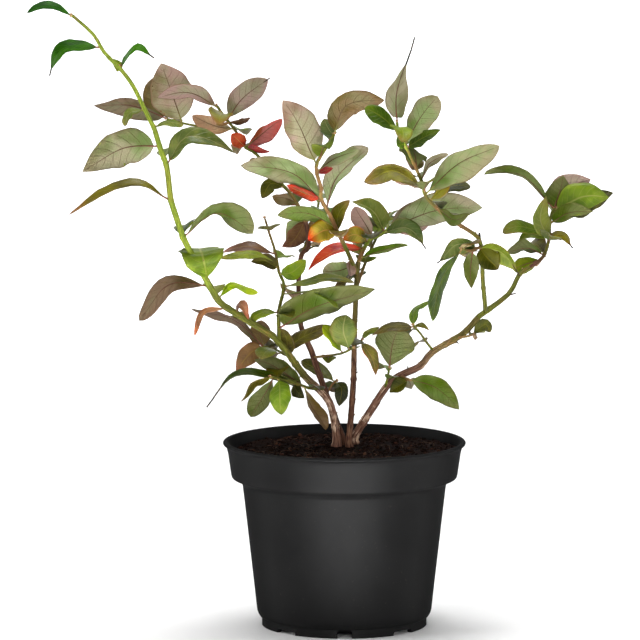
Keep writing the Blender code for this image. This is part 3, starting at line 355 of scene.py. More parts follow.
# a mass is one or more leafy twigs; "more" deals a count of leaves of a length from a seed
masses = {
    "arch_low_leaves": [dict(
        grows=("left_stem", 1), girth=(2.3, 2.1), more=(2, 42, 85),
        at=[(-73, -15, 240), (-86, -21, 249), (-97, -27, 258), (-106, -34, 274)],
        leaves=[
            (0.76, (-86, -32, 272), (-67, -36, 265), 16, -138, 20, 4, 0.62, "lime"),
            (0.6, (-109, -29, 250), (-116, -35, 232), 10, -114, 40, 4, 0.5, "rust"),
            (0.49, (-80, -26, 256), (-74, -28, 244), 9, -24, 50, 4, 0.38, "rust"),
            (0.94, (-136, -40, 272), (-158, -38, 244), 20.6, 156, 10, 4, 0.6, "purple")])],
    "arch_middle_leaves": [dict(
        grows=("arch_low_leaves", 1), girth=(2, 1.9), more=(1, 46, 35),
        at=[(-122, -44, 305), (-126, -48, 316), (-133, -51, 338)],
        leaves=[
            (0.58, (-99, -48, 329), (-70, -42, 314), 32, 40, 40, 4, 0.62, "green"),
            (0, (-109, -46, 294), (-112, -18, 299), 35.3, -6, 0, 4, 0.62, "lime")])],
    "arch_upper_leaves": [dict(
        grows=("arch_middle_leaves", 1), girth=(1.9, 1.7), more=(1, 44, 151),
        at=[(-136, -54, 364), (-140, -56, 376), (-145, -58, 393)],
        leaves=[
            (0.78, (-171, -59, 379), (-201, -53, 362), 31.3, 90, -10, 9, 0.38, "sage"),
            (0.5, (-119, -58, 389), (-83, -52, 377), 19.6, -30, 30, 20, 0.42, "green"),
            (0.01, (-164, -57, 352), (-212, -59, 329), 20, 0, 20, 4, 0.56, "olive")])],
    "arch_tip_leaves": [dict(
        grows=("arch_upper_leaves", 1), girth=(1.6, 1), more=(1, 32, 86),
        at=[(-153, -61, 410), (-161, -64, 427), (-170, -67, 440), (-183, -70, 454), (-191, -75, 468),
            (-207, -80, 483)],
        leaves=[
            (0.99, (-223, -83, 490), (-241, -86, 486), 14, -12, 20, 4, 0.56, "deep"),
            (0.69, (-213, -77, 458), (-227, -77, 438), 22.6, -6, 10, 4, 0.5, "deep"),
            (0.5, (-159, -70, 458), (-145, -73, 450), 15, -6, 10, 4, 0.38, "deep"),
            (0.16, (-164, -63, 407), (-168, -64, 397), 10.7, -18, 30, 14, 0.62, "green"),
            (0.02, (-135, -60, 400), (-123, -62, 398), 11.5, -132, 30, 9, 0.56, "green")])],
    "side_shoot_leaves": [dict(
        grows=("left_stem", 0.94), girth=(1.6, 0.8), more=(4, 42, 57),
        at=[(-51, -4, 248), (-47, 3, 266), (-51, 6, 277), (-54, 9, 293), (-58, 13, 305), (-62, 16, 318)],
        leaves=[
            (0.69, (-74, 5, 297), (-95, 11, 293), 16.2, -12, 30, 4, 0.62, "purple"),
            (0.61, (-75, 1, 292), (-98, 1, 287), 14, -132, 20, 9, 0.44, "green"),
            (0.57, (-62, 3, 286), (-73, 6, 285), 12.2, -48, 10, 14, 0.38, "olive"),
            (0.52, (-41, -6, 278), (-30, -6, 288), 14, -84, 0, 4, 0.5, "lime"),
            (0.41, (-16, -11, 274), (8, -13, 274), 24.6, 0, 20, 4, 0.62, "green"),
            (0.06, (-20, -29, 255), (24, -31, 268), 44, 48, 6, 4, 0.4, "green"),
            (0.35, (-20, -31, 265), (-4, -33, 254), 21.8, 6, 0, 4, 0.62, "lime"),
            (0.19, (-63, -10, 247), (-75, -12, 240), 12.3, -12, 10, 9, 0.62, "lime")])],
    "upper_left_leaves": [dict(
        grows=("brown_stem", 1), girth=(1.5, 1), more=(7, 46, 117),
        at=[(-41, 86, 328), (-50, 90, 338), (-69, 96, 360), (-78, 99, 366), (-87, 102, 380), (-94, 106, 388),
            (-101, 109, 398)],
        leaves=[
            (0.98, (-123, 105, 409), (-148, 108, 406), 20.4, 60, 20, 9, 0.44, "mauve"),
            (0.88, (-80, 102, 405), (-59, 105, 421), 22.8, 84, 20, 4, 0.5, "mauve"),
            (0.66, (-63, 97, 378), (-49, 103, 388), 17.2, 156, 10, 9, 0.5, "red"),
            (0.66, (-83, 93, 371), (-89, 91, 377), 13, -96, 0, 4, 0.5, "red"),
            (0.65, (-68, 93, 365), (-59, 91, 362), 9.6, -120, 0, 4, 0.38, "red"),
            (0.8, (-103, 108, 382), (-121, 112, 389), 17, 150, 10, 4, 0.56, "rust"),
            (0.86, (-82, 106, 386), (-74, 108, 388), 8.3, -126, 20, 9, 0.44, "purple"),
            (0.28, (-58, 87, 338), (-65, 87, 326), 12.1, -90, 10, 4, 0.5, "dark"),
            (0.14, (-46, 79, 327), (-57, 79, 328), 14, 144, 20, 27, 0.56, "purple"),
            (0.13, (-44, 89, 322), (-50, 91, 320), 9, -30, 0, 15, 0.5, "red"),
            (0.02, (-37, 81, 289), (-46, 83, 280), 16.1, -102, 10, 4, 0.38, "purple"),
            (0.03, (-39, 87, 298), (-46, 89, 291), 19.9, 42, 0, 20, 0.44, "sage")]),
    dict(
        girth=(1.1, 0.8), more=(2, 42, 160),
        at=[(-91, 104, 384), (-112, 115, 381), (-129, 122, 383), (-142, 128, 386)],
        leaves=[
            (0.75, (-137, 124, 406), (-146, 128, 430), 36.3, 144, 0, 4, 0.44, "mauve"),
            (0.99, (-149, 134, 401), (-153, 138, 418), 25.1, -168, 20, 27, 0.5, "purple"),
            (0.97, (-168, 129, 396), (-200, 133, 395), 26.4, 162, -10, 4, 0.38, "purple")])],
    "inner_left_leaves": [dict(
        grows=("brown_stem", 0.38), girth=(1, 0.8), more=(2, 32, 28),
        at=[(-3, -11, 215), (7, -35, 223)],
        leaves=[
            (0.85, (-1, -32, 235), (1, -30, 248), 21.8, -84, 0, 4, 0.56, "green"),
            (0.64, (-9, -23, 230), (-17, -26, 239), 14.5, -54, 0, 4, 0.62, "lime")])],
    "middle_right_leaves": [dict(
        grows=("middle_stem", 1), girth=(1.7, 1), more=(5, 46, 154),
        at=[(19, 34, 298), (29, 44, 302), (37, 54, 308)],
        leaves=[
            (0.96, (70, 51, 320), (109, 53, 322), 35.5, 66, 10, 4, 0.44, "sage"),
            (0.81, (23, 43, 320), (6, 45, 329), 21.4, -30, 20, 35, 0.38, "green"),
            (0.93, (52, 61, 312), (68, 69, 310), 27.7, 102, 0, 9, 0.56, "mauve"),
            (0.79, (50, 42, 307), (65, 40, 292), 18.9, -30, 20, 35, 0.44, "green"),
            (0.07, (30, 17, 293), (50, 18, 297), 17.3, 42, 0, 20, 0.5, "green"),
            (0.54, (16, 46, 311), (8, 52, 323), 16.2, 168, 0, 14, 0.62, "mauve"),
            (0.28, (-4, 16, 293), (-30, 14, 279), 17.7, -12, 30, 20, 0.5, "red"),
            (0.42, (8, 19, 305), (-1, 13, 302), 14.1, -96, 0, 4, 0.56, "ember")])],
    "centre_low_leaves": [dict(
        grows=("middle_stem", 0.94), girth=(1.7, 1.5), more=(4, 42, 95),
        at=[(0, -6, 299), (-5, -19, 310), (-11, -32, 325), (-18, -45, 339), (-18, -51, 347)],
        leaves=[
            (0.84, (-39, -45, 359), (-80, -41, 365), 32.9, 54, 0, 4, 0.5, "sage"),
            (0.78, (-6, -41, 356), (18, -41, 379), 26.3, 66, 0, 20, 0.62, "sage"),
            (0.56, (-29, -30, 327), (-52, -28, 326), 20.7, 54, 10, 4, 0.5, "green"),
            (0.91, (-31, -36, 343), (-45, -30, 348), 15.6, -120, 0, 4, 0.5, "red"),
            (0.5, (-5, -24, 325), (3, -24, 337), 13.1, -36, 10, 4, 0.5, "olive"),
            (0.5, (-16, -28, 313), (-28, -30, 306), 19, -48, 20, 18, 0.5, "ember"),
            (0.13, (4, 9, 281), (5, 11, 273), 10.8, 0, 0, 27, 0.62, "mauve"),
            (0.06, (-4, 22, 276), (-17, 24, 275), 17.7, 120, 0, 4, 0.62, "sage"),
            (0.02, (1, 25, 267), (-8, 27, 264), 14, -50, 0, 12, 0.5, "olive")])],
    "centre_top_leaves": [dict(
        grows=("centre_low_leaves", 1), girth=(1.5, 1.1), more=(3, 44, 134),
        at=[(-22, -64, 366), (-16, -74, 379), (-8, -83, 393)],
        leaves=[
            (0.43, (-32, -67, 392), (-47, -63, 417), 32.1, 108, 0, 14, 0.45, "mauve"),
            (1, (1, -87, 415), (30, -89, 420), 24.9, 66, 30, 14, 0.42, "purple"),
            (0.97, (-14, -80, 399), (-16, -78, 404), 12, -50, 0, 15, 0.5, "green"),
            (0.3, (-7, -59, 372), (11, -57, 378), 17.4, 168, 0, 4, 0.56, "sage"),
            (0.28, (-15, -63, 363), (-9, -64, 365), 6, -50, 0, 12, 0.5, "red")])],
    "right_middle_leaves": [dict(
        grows=("upright_bough", 0.88), girth=(1.1, 0.9), more=(3, 36, 58),
        at=[(96, -43, 299), (89, -59, 303)],
        leaves=[
            (0.08, (86, -35, 303), (72, -37, 288), 16.7, -102, 20, 9, 0.38, "green"),
            (0.91, (74, -62, 279), (67, -64, 247), 23.5, -102, 20, 4, 0.5, "bright"),
            (0.32, (97, -36, 283), (98, -36, 269), 14, -168, 0, 4, 0.38, "green"),
            (0.02, (121, -35, 297), (135, -37, 279), 22.9, -96, 10, 27, 0.38, "green"),
            (0.01, (114, -29, 290), (126, -25, 282), 21.1, -42, 0, 27, 0.5, "dark")])],
    "upper_right_low_leaves": [dict(
        grows=("upper_right_bough", 1), girth=(1.3, 1.2), more=(4, 42, 70),
        at=[(62, -80, 344), (59, -90, 355), (55, -96, 365)],
        leaves=[
            (0.86, (64, -88, 371), (78, -86, 379), 17, 52, 0, 12, 0.55, "sage"),
            (0.58, (85, -80, 369), (118, -76, 382), 30.8, 156, 0, 9, 0.52, "sage"),
            (0.72, (36, -92, 366), (15, -90, 355), 21.6, -120, 0, 9, 0.56, "olive"),
            (0.7, (50, -81, 354), (39, -77, 356), 17, 66, 0, 27, 0.62, "mauve"),
            (0.41, (78, -72, 351), (96, -68, 352), 17, -12, 0, 9, 0.62, "dark"),
            (0.44, (72, -79, 348), (79, -77, 355), 10.5, -96, 0, 27, 0.62, "olive"),
            (0.23, (84, -62, 322), (97, -58, 327), 16, 156, 0, 4, 0.44, "green")])],
    "upper_right_top_leaves": [dict(
        grows=("upper_right_low_leaves", 1), girth=(1.2, 1), more=(3, 40, 130),
        at=[(46, -106, 385), (40, -112, 399), (39, -115, 405)],
        leaves=[
            (0.96, (40, -114, 431), (53, -110, 468), 31.8, -156, 30, 4, 0.38, "sage"),
            (0.56, (56, -105, 406), (70, -101, 423), 22.9, 144, 0, 9, 0.62, "sage"),
            (0.79, (28, -114, 408), (15, -115, 416), 15.4, -42, 0, 4, 0.62, "bright"),
            (0.49, (58, -110, 392), (72, -112, 399), 14.4, -30, 0, 4, 0.38, "bright"),
            (0.5, (41, -111, 389), (40, -113, 395), 6.8, -90, 0, 4, 0.38, "bright"),
            (0.05, (53, -96, 376), (52, -80, 382), 24, -156, 0, 4, 0.58, "green")])],
    "right_spray_leaves": [dict(
        grows=("right_bough", 1), girth=(1.5, 1), more=(5, 42, 10),
        at=[(156, 44, 284), (161, 52, 296), (163, 61, 315), (167, 64, 321)],
        leaves=[
            (0.97, (141, 60, 347), (110, 63, 349), 21.6, 48, -30, 9, 0.72, "green"),
            (0.96, (170, 67, 333), (173, 71, 346), 20.7, 150, 0, 4, 0.38, "green"),
            (0.56, (154, 48, 313), (159, 48, 332), 16.7, -42, 0, 4, 0.38, "green"),
            (0.96, (178, 71, 336), (195, 77, 342), 26.4, 138, 0, 4, 0.38, "mauve"),
            (0.96, (187, 59, 330), (209, 59, 330), 25.8, -60, 0, 4, 0.38, "lime"),
            (0.93, (190, 69, 325), (213, 75, 334), 24.6, -30, 0, 9, 0.38, "dark"),
            (0.76, (176, 55, 318), (196, 54, 319), 16.4, 66, 0, 4, 0.38, "green"),
            (0.6, (138, 50, 308), (124, 50, 304), 17.8, -18, 0, 4, 0.62, "sage"),
            (0.55, (147, 57, 301), (137, 59, 295), 9, -40, 0, 15, 0.5, "lime"),
            (0.6, (173, 51, 301), (179, 50, 290), 11.6, -120, 10, 4, 0.38, "olive"),
            (0.3, (144, 49, 291), (128, 51, 287), 24, 46, 0, 12, 0.5, "green"),
            (0.22, (144, 45, 279), (133, 47, 274), 13.9, 114, 0, 4, 0.62, "bright")])],
    "right_inner_leaves": [dict(
        grows=("right_stem", 0.7), girth=(1, 0.8), more=(2, 34, 31),
        at=[(64, -5, 223), (59, -13, 231), (53, -22, 239)],
        leaves=[
            (0.91, (37, -25, 238), (20, -26, 232), 16.1, -6, 20, 4, 0.38, "olive"),
            (1, (55, -26, 252), (68, -28, 258), 12.5, -144, 20, 4, 0.38, "bright"),
            (1, (60, -22, 239), (66, -20, 235), 6.5, -24, 0, 4, 0.44, "olive")])],
    "right_low_leaves": [dict(
        grows=("right_stem", 0.36), girth=(1, 0.8), more=(2, 32, 183),
        at=[(34, -4, 197), (35, -11, 204)],
        leaves=[
            (1, (37, -13, 221), (42, -17, 237), 34, 120, 0, 9, 0.6, "green")])],
    "middle_low_leaves": [dict(
        grows=("middle_stem", 0.55), girth=(0.9, 0.8), more=(2, 30, 128),
        at=[(12, 5, 222), (14, 0, 225)],
        leaves=[
            (0.7, (21, -1, 211), (25, -3, 197), 13.6, 0, 0, 4, 0.38, "ember"),
            (0.72, (18, -1, 231), (27, -3, 234), 8.9, -126, 0, 20, 0.62, "green")])],
    "fork_leaves": [dict(
        grows=("brown_stem", 0.22), girth=(0.9, 0.8), more=(2, 32, 115),
        at=[(-9, 27, 186), (-6, 31, 188)],
        leaves=[
            (0.87, (-2, 24, 182), (-4, 22, 169), 11.7, -6, 10, 4, 0.44, "dark"),
            (0.85, (-19, 41, 194), (-34, 43, 202), 16, -12, 0, 14, 0.62, "dark")])],
    "right_elbow_leaves": [dict(
        grows=("right_stem", 0.84), girth=(0.9, 0.8), more=(1, 26, 104),
        at=[(97, -11, 229), (100, -16, 231)],
        leaves=[
            (1, (109, -19, 239), (113, -21, 233), 9.7, -72, 0, 4, 0.56, "dark"),
            (1, (102, -20, 231), (101, -22, 227), 7.8, -138, 0, 27, 0.5, "olive")])],
    "right_under_leaves": [dict(
        grows=("right_stem", 0.47), girth=(1, 0.9), more=(2, 30, 7),
        at=[(50, -6, 194), (51, -9, 194)],
        leaves=[
            (0.8, (71, -8, 188), (90, -6, 172), 21.1, 84, 0, 4, 0.44, "green"),
            (0.68, (44, -1, 189), (35, 1, 183), 13.9, -48, 0, 20, 0.38, "dark")])],
    "lower_left_leaves": [dict(
        grows=("left_stem", 0.46), girth=(1.2, 0.9), more=(3, 36, 66),
        at=[(-28, -9, 188), (-37, -15, 192), (-57, -25, 199)],
        leaves=[
            (0.49, (-82, -23, 201), (-108, -25, 176), 16, 0, 20, 4, 0.44, "bright"),
            (0.96, (-71, -28, 194), (-79, -30, 179), 14.3, -126, 10, 14, 0.38, "olive"),
            (0.85, (-50, -36, 186), (-49, -39, 171), 18.5, -24, 0, 4, 0.5, "lime"),
            (0.95, (-63, -20, 183), (-73, -16, 166), 17.5, 78, 0, 9, 0.62, "green"),
            (0.55, (-37, -8, 185), (-31, -4, 179), 10.9, -96, 0, 4, 0.38, "dark"),
            (0.34, (-25, -17, 174), (-13, -16, 157), 16.6, 72, 0, 9, 0.62, "purple"),
            (0.34, (-52, 0, 202), (-70, -4, 211), 20.4, 84, 0, 14, 0.44, "green")])],
    "back_left_leaves": [dict(
        grows=("left_stem", 0.8), girth=(1, 0.8), more=(4, 42, 151),
        at=[(-47, 7, 212), (-54, 14, 215), (-64, 23, 216)],
        leaves=[
            (0.95, (-74, 18, 211), (-85, 16, 198), 18.1, -36, 0, 14, 0.38, "purple"),
            (0.98, (-87, 25, 237), (-121, 29, 243), 26.6, -174, 0, 4, 0.5, "purple"),
            (0.94, (-66, 32, 225), (-65, 36, 235), 18.1, 168, 0, 4, 0.56, "purple"),
            (0.93, (-57, 33, 217), (-52, 37, 213), 8.7, -36, 0, 4, 0.62, "olive"),
            (0.39, (-34, 11, 224), (-12, 9, 235), 20.8, -18, 0, 4, 0.5, "olive"),
            (0.2, (-38, -7, 226), (-42, -9, 237), 13.9, 168, 0, 4, 0.38, "olive")])],
    "back_middle_leaves": [dict(
        grows=("brown_stem", 0.8), girth=(1.3, 0.9), more=(8, 46, 40),
        at=[(-28, 96, 296), (-22, 131, 309), (-18, 157, 328)],
        leaves=[])],
    "back_right_leaves": [dict(
        grows=("middle_stem", 0.86), girth=(1.3, 0.9), more=(8, 44, 169),
        at=[(17, 50, 280), (27, 96, 296), (37, 138, 309)],
        leaves=[])],
}
dealtTints = ("green", "green", "olive", "dark", "sage", "olive", "bright")

def smoothPath(points, per):
    knots = [Vector(p) for p in points]
    if len(knots) == 2:
        return [knots[0].lerp(knots[1], i / per) for i in range(per + 1)]
    knots = [knots[0] * 2 - knots[1]] + knots + [knots[-1] * 2 - knots[-2]]
    path = []
    for i in range(1, len(knots) - 2):
        a, b, c, d = knots[i - 1:i + 3]
        for j in range(per):
            t = j / per
            spot = b * 2 + (c - a) * t + (a * 2 - b * 5 + c * 4 - d) * t * t
            path.append((spot + (b * 3 - a - c * 3 + d) * t ** 3) / 2)
    path.append(knots[-2])
    return path


def pathAt(path, share):
    # the spot and the heading at a share of a path's length
    runs = runsAlong(path)
    want = share * runs[-1]
    for i in range(len(path) - 1):
        if want <= runs[i + 1] or i == len(path) - 2:
            part = (want - runs[i]) / (runs[i + 1] - runs[i])
            return path[i].lerp(path[i + 1], part), (path[i + 1] - path[i]).normalized()


def thickAt(girth, run, length=1.0):
    return girth[0] + (girth[1] - girth[0]) * run / length


def flaredAt(radius, run):
    # a stem's foot widens where it stands in the soil
    if run >= growth["flareHeight"]:
        return radius
    return radius * (1 + (growth["flare"] - 1) * (1 - run / growth["flareHeight"]) ** 2)


def grownPath(limb, limbs):
    # from a tip it carries straight on, from a side it starts at the bark
    per, gap = growth["stretch"], growth["gap"]
    knots = [Vector(p) for p in limb["at"]]
    if "grows" not in limb:
        path = smoothPath(knots, per)
        return [path[0], path[0] + Vector((0.0, 0.0, 1.2))] + path[1:]
    parent, share = limb["grows"]
    route = limbs[parent]["path"]
    if share >= 1:
        tip, heading = route[-1], (route[-1] - route[-2]).normalized()
        path = smoothPath([route[-1 - per], tip] + knots, per)[per:]
        while len(path) > 2 and (path[1] - tip).dot(heading) < 2.5:
            path.pop(1)
        return [tip + heading * gap, tip + heading * (gap + 1.0)] + path[1:]
    point, heading = pathAt(route, share)
    radius = thickAt(limbs[parent]["girth"], share)
    out = (knots[0] - point).normalized()
    along = out.dot(heading)
    across = math.sqrt(max(0.05, 1 - along * along))
    start = point + out * (radius + gap + limb["girth"][0] * abs(along)) / across
    return smoothPath([start] + knots, per)


def leafSpine(root, leaf, steps):
    # points along a leaf from its root through its middle to its tip, each with heading, face and side
    path = smoothPath([root, leaf["middle"], leaf["tip"]], 8)
    points = [pathAt(path, i / steps)[0] for i in range(steps + 1)]
    aheads = [headingAt(points, i) for i in range(steps + 1)]
    half = steps // 2
    face = squareTo(aheads[half], Vector((0.0, -0.25, 1.0)))
    side = aheads[half].cross(face)
    sign = 1 if side.y > 1e-6 or (abs(side.y) <= 1e-6 and side.x > 0) else -1
    turn, twist = math.radians(leaf["turn"]) * sign, math.radians(leaf["twist"]) * sign
    faces = {half: face * math.cos(turn) + side * math.sin(turn)}
    for i in list(range(half + 1, steps + 1)) + list(range(half - 1, -1, -1)):
        faces[i] = squareTo(aheads[i], faces[i - 1 if i > half else i + 1])
    spine = []
    for i in range(steps + 1):
        angle = twist * (i / steps - 0.5)
        up = faces[i] * math.cos(angle) + aheads[i].cross(faces[i]) * math.sin(angle)
        spine.append((points[i], aheads[i], up, aheads[i].cross(up)))
    return spine


def between(spine, t):
    # the middle, the face and the side at a share of a leaf's length
    i = min(len(spine) - 2, int(t * (len(spine) - 1)))
    return (spine[i][j].lerp(spine[i + 1][j], t * (len(spine) - 1) - i) for j in (0, 2, 3))


def bladeHalf(t, widest):
    u = min(1.0, max(0.0, (t - growth["stalk"]) / (1 - growth["stalk"])))
    rise, fall = growth["power"] * widest, growth["power"] * (1 - widest)
    return u ** rise * (1 - u) ** fall / (widest ** rise * (1 - widest) ** fall)


def leafShape(root, leaf, stalk, extra=0.0):
    # corners and faces of a closed leaf: an edge, a ridge, an edge and a keel at each station
    spine = leafSpine(root, leaf, growth["fine"])
    fold = math.radians(leaf["fold"])
    thick = growth["thickness"] / 2 + extra
    corners = []
    for t in growth["stations"]:
        centre, up, across = between(spine, t)
        half = max(stalk, leaf["width"] / 2 * bladeHalf(t, leaf["widest"])) + extra
        rise = half * math.sin(fold) if t > growth["stalk"] else 0.0
        deep = min(thick, stalk + extra) if t < 0.05 else thick
        for sign in (-1, 1):
            corners.append(centre + across * sign * half * math.cos(fold) + up * rise)
            corners.append(centre + up * deep * -sign)
    last = len(corners)
    corners.append(spine[-1][0] + spine[-1][1] * extra)
    faces = [(0, 1, 2), (0, 2, 3)] + halved(ringQuads(len(growth["stations"]) - 1, 4, True))
    faces += [(last - 4 + i, last, last - 4 + (i + 1) % 4) for i in range(4)]
    return corners, faces


def leafRoot(twig, place):
    length = runsAlong(twig["path"])[-1]
    share = min(place, 1 - 1.6 / length)
    point, _ = pathAt(twig["path"], max(0.0, share))
    return point, min(0.8, thickAt(twig["girth"], share) * 0.72)


def dealtLeaves(twig):
    # more leaves along the twig, dealt from a seed to its back and its front
    count, length, seed = twig["more"]
    draw = random.Random(seed)
    leaves = []
    for i in range(count):
        place = (i + 0.6) / count
        root, _ = leafRoot(twig, place)
        toFront = (i + seed) % 3 == 0
        hour = math.radians(180 * toFront + draw.uniform(-growth["spread"], growth["spread"]))
        lift = math.radians(draw.uniform(-6, 20) if toFront else draw.uniform(-20, 8))
        size = length * draw.uniform(0.8, 1.12)
        ahead = Vector((math.sin(hour) * math.cos(lift), math.cos(hour) * math.cos(lift), math.sin(lift)))
        middle = root + ahead * size * 0.5 + Vector((0.0, 0.0, size * draw.uniform(0.02, 0.12)))
        leaves.append((
            place, middle, root + ahead * size, size * draw.uniform(0.38, 0.48), draw.uniform(-25, 25),
            draw.uniform(-30, 30), draw.uniform(8, 16), draw.uniform(0.45, 0.6),
            dealtTints[draw.randrange(len(dealtTints))]))
    return leaves


def clearLeaf(root, leaf, stalk, owner, taken, seed):
    # the leaf as given, or turned a little aside until it is clear of every other node
    draw = random.Random(seed)
    for attempt in range(growth["tries"]):
        wide = attempt / growth["tries"]
        swing = Euler([math.radians(draw.uniform(-a, a)) * wide for a in growth["swing"]]).to_matrix()
        trial = dict(leaf)
        for end in ("middle", "tip"):
            trial[end] = root + swing @ (Vector(leaf[end]) - root) * (1 - growth["shrink"] * wide)
        trial["turn"] += draw.uniform(-growth["turning"], growth["turning"]) * wide
        tree = BVHTree.FromPolygons(*leafShape(root, trial, stalk, growth["room"]))
        if not any(name != owner and tree.overlap(other) for name, other in taken):
            return trial
    return None


def tubeShape(path, girth, sides, flare=False):
    # corners and faces of a plain tapering tube, a little fat
    runs, ahead = runsAlong(path), headingAt(path, 0)
    flat = ahead.cross(Vector((0.31, 0.17, 0.94) if abs(ahead.z) < 0.9 else (0.2, 0.97, 0.1))).normalized()
    corners = []
    for run, (point, _, flat, up) in zip(runs, carried(path, flat)):
        radius = thickAt(girth, run, runs[-1]) * growth["fat"]
        corners += ringRound(point, flat, up, flaredAt(radius, run) if flare else radius, sides)
    last = (len(path) - 1) * sides
    faces = halved(ringQuads(len(path) - 1, sides))
    for k in range(1, sides - 1):
        faces += [(0, k + 1, k), (last, last + k, last + k + 1)]
    return corners, faces


def growBush():
    # the paths of all limbs, and each mass's leaves as twig number, root, stalk and leaf
    limbs, taken = {}, []

    def take(name, shape):
        taken.append((name, BVHTree.FromPolygons(*shape)))

    for name, limb in {**stems, **boughs}.items():
        limb["path"] = grownPath(limb, limbs)
        limbs[name] = limb
        take(name, tubeShape(limb["path"], limb["girth"], growth["testSides"], name in stems))
    for name, twigs in masses.items():
        for twig in twigs:
            twig["path"] = grownPath(twig, limbs)
            take(name, tubeShape(twig["path"], twig["girth"], growth["testSides"]))
        limbs[name] = twigs[0]
    grown = {name: [] for name in masses}
    for stage in ("leaves", "more"):
        for name, twigs in masses.items():
            for number, twig in enumerate(twigs):
                rows = twig["leaves"] if stage == "leaves" else dealtLeaves(twig)
                for i, row in enumerate(rows):
                    leaf = dict(zip(leafWords, row))
                    root, stalk = leafRoot(twig, leaf["place"])
                    seed = 1000 * (stage == "more") + 100 * number + i
                    leaf = clearLeaf(root, leaf, stalk, name, taken, seed)
                    if leaf:
                        leaf["named"], leaf["row"] = stage == "leaves", i
                        grown[name].append((number, root, stalk, leaf))
                        take(name, leafShape(root, leaf, stalk))
    return limbs, grown


blade = {
    "rows": 16, "columns": 8, "spine": 30, "thickness": 0.34, "wave": 0.11, "curl": 0.12, "hook": 0.045,
    "folding": (1.0, 14.0), "veins": 8.5, "slant": 1.5,
    # the stalk, which runs on as a rib below the blade and tapers to its end
    "ribRings": 15, "ribSides": 6, "ribRadius": 0.46, "ribEnd": 0.93, "ribFrom": 0.14,
    # leaves that end in a long dried thread: the share of the length, by mass and number
    "threads": {
        ("upper_right_top_leaves", 0): 0.30, ("lower_left_leaves", 0): 0.20, ("arch_tip_leaves", 1): 0.09,
        ("arch_tip_leaves", 2): 0.07, ("middle_right_leaves", 3): 0.10, ("right_middle_leaves", 3): 0.12,
        ("right_spray_leaves", 9): 0.10, ("upper_left_leaves", 1): 0.04, ("right_middle_leaves", 0): 0.06,
    },
    "ribTones": {
        "red": (0.170, 0.050, 0.030), "green": (0.200, 0.205, 0.045), "dark": (0.075, 0.026, 0.018),
        "speck": (0.080, 0.032, 0.020),
    },
    "driedTones": ((0.010, 0.008, 0.007), (0.070, 0.042, 0.026)),
}
# a tint: upper colours, how far the edge colour runs in, underside colours, how far they blush, shine
toneWords = ("top", "deep", "vein", "edge", "edging", "under", "blush", "veinUnder", "blushing", "shine")
leafTones = {
    "deep": (
        (0.018, 0.077, 0.003), (0.007, 0.036, 0.002), (0.025, 0.103, 0.004), (0.030, 0.090, 0.015), 0.3,
        (0.160, 0.230, 0.085), (0.22, 0.20, 0.11), (0.10, 0.11, 0.05), 0.4, 0.03),
    "green": (
        (0.106, 0.126, 0.023), (0.045, 0.070, 0.011), (0.211, 0.202, 0.075), (0.160, 0.090, 0.030), 0.5,
        (0.085, 0.118, 0.031), (0.114, 0.100, 0.043), (0.054, 0.054, 0.016), 0.5, 0.16),
    "bright": (
        (0.037, 0.067, 0.002), (0.016, 0.034, 0.002), (0.094, 0.108, 0.003), (0.120, 0.150, 0.020), 0.4,
        (0.097, 0.139, 0.008), (0.130, 0.130, 0.011), (0.061, 0.071, 0.005), 0.4, 0.16),
    "dark": (
        (0.051, 0.055, 0.002), (0.019, 0.023, 0.002), (0.117, 0.102, 0.007), (0.070, 0.045, 0.020), 0.5,
        (0.110, 0.150, 0.062), (0.15, 0.11, 0.08), (0.07, 0.06, 0.03), 0.5, 0.16),
    "sage": (
        (0.097, 0.142, 0.013), (0.053, 0.086, 0.006), (0.195, 0.225, 0.034), (0.200, 0.100, 0.050), 0.6,
        (0.174, 0.218, 0.092), (0.240, 0.195, 0.131), (0.120, 0.078, 0.042), 0.7, 0.16),
    "mauve": (
        (0.090, 0.080, 0.022), (0.045, 0.036, 0.012), (0.160, 0.130, 0.050), (0.300, 0.090, 0.050), 0.9,
        (0.226, 0.210, 0.136), (0.278, 0.186, 0.162), (0.148, 0.077, 0.056), 1.0, 0.16),
    "lime": (
        (0.118, 0.171, 0.012), (0.062, 0.104, 0.006), (0.222, 0.230, 0.052), (0.250, 0.250, 0.040), 0.4,
        (0.300, 0.360, 0.130), (0.37, 0.30, 0.15), (0.19, 0.18, 0.07), 0.5, 0.16),
    "red": (
        (0.310, 0.055, 0.030), (0.130, 0.010, 0.008), (0.340, 0.160, 0.070), (0.300, 0.020, 0.012), 0.7,
        (0.238, 0.083, 0.077), (0.274, 0.060, 0.057), (0.131, 0.020, 0.025), 0.9, 0.16),
    "rust": (
        (0.200, 0.099, 0.049), (0.100, 0.041, 0.022), (0.249, 0.154, 0.071), (0.420, 0.120, 0.060), 0.8,
        (0.224, 0.186, 0.111), (0.252, 0.144, 0.095), (0.112, 0.068, 0.040), 0.9, 0.16),
    "ember": (
        (0.215, 0.180, 0.024), (0.105, 0.095, 0.012), (0.420, 0.230, 0.080), (0.480, 0.080, 0.040), 1.3,
        (0.330, 0.290, 0.120), (0.480, 0.200, 0.130), (0.24, 0.12, 0.06), 1.0, 0.16),
    "olive": (
        (0.093, 0.087, 0.005), (0.043, 0.034, 0.003), (0.149, 0.135, 0.011), (0.180, 0.080, 0.040), 0.8,
        (0.200, 0.175, 0.085), (0.25, 0.15, 0.10), (0.10, 0.06, 0.03), 0.7, 0.16),
    "purple": (
        (0.131, 0.070, 0.030), (0.063, 0.031, 0.014), (0.202, 0.126, 0.043), (0.230, 0.070, 0.060), 0.6,
        (0.122, 0.108, 0.059), (0.133, 0.084, 0.052), (0.058, 0.035, 0.019), 0.9, 0.16),
}


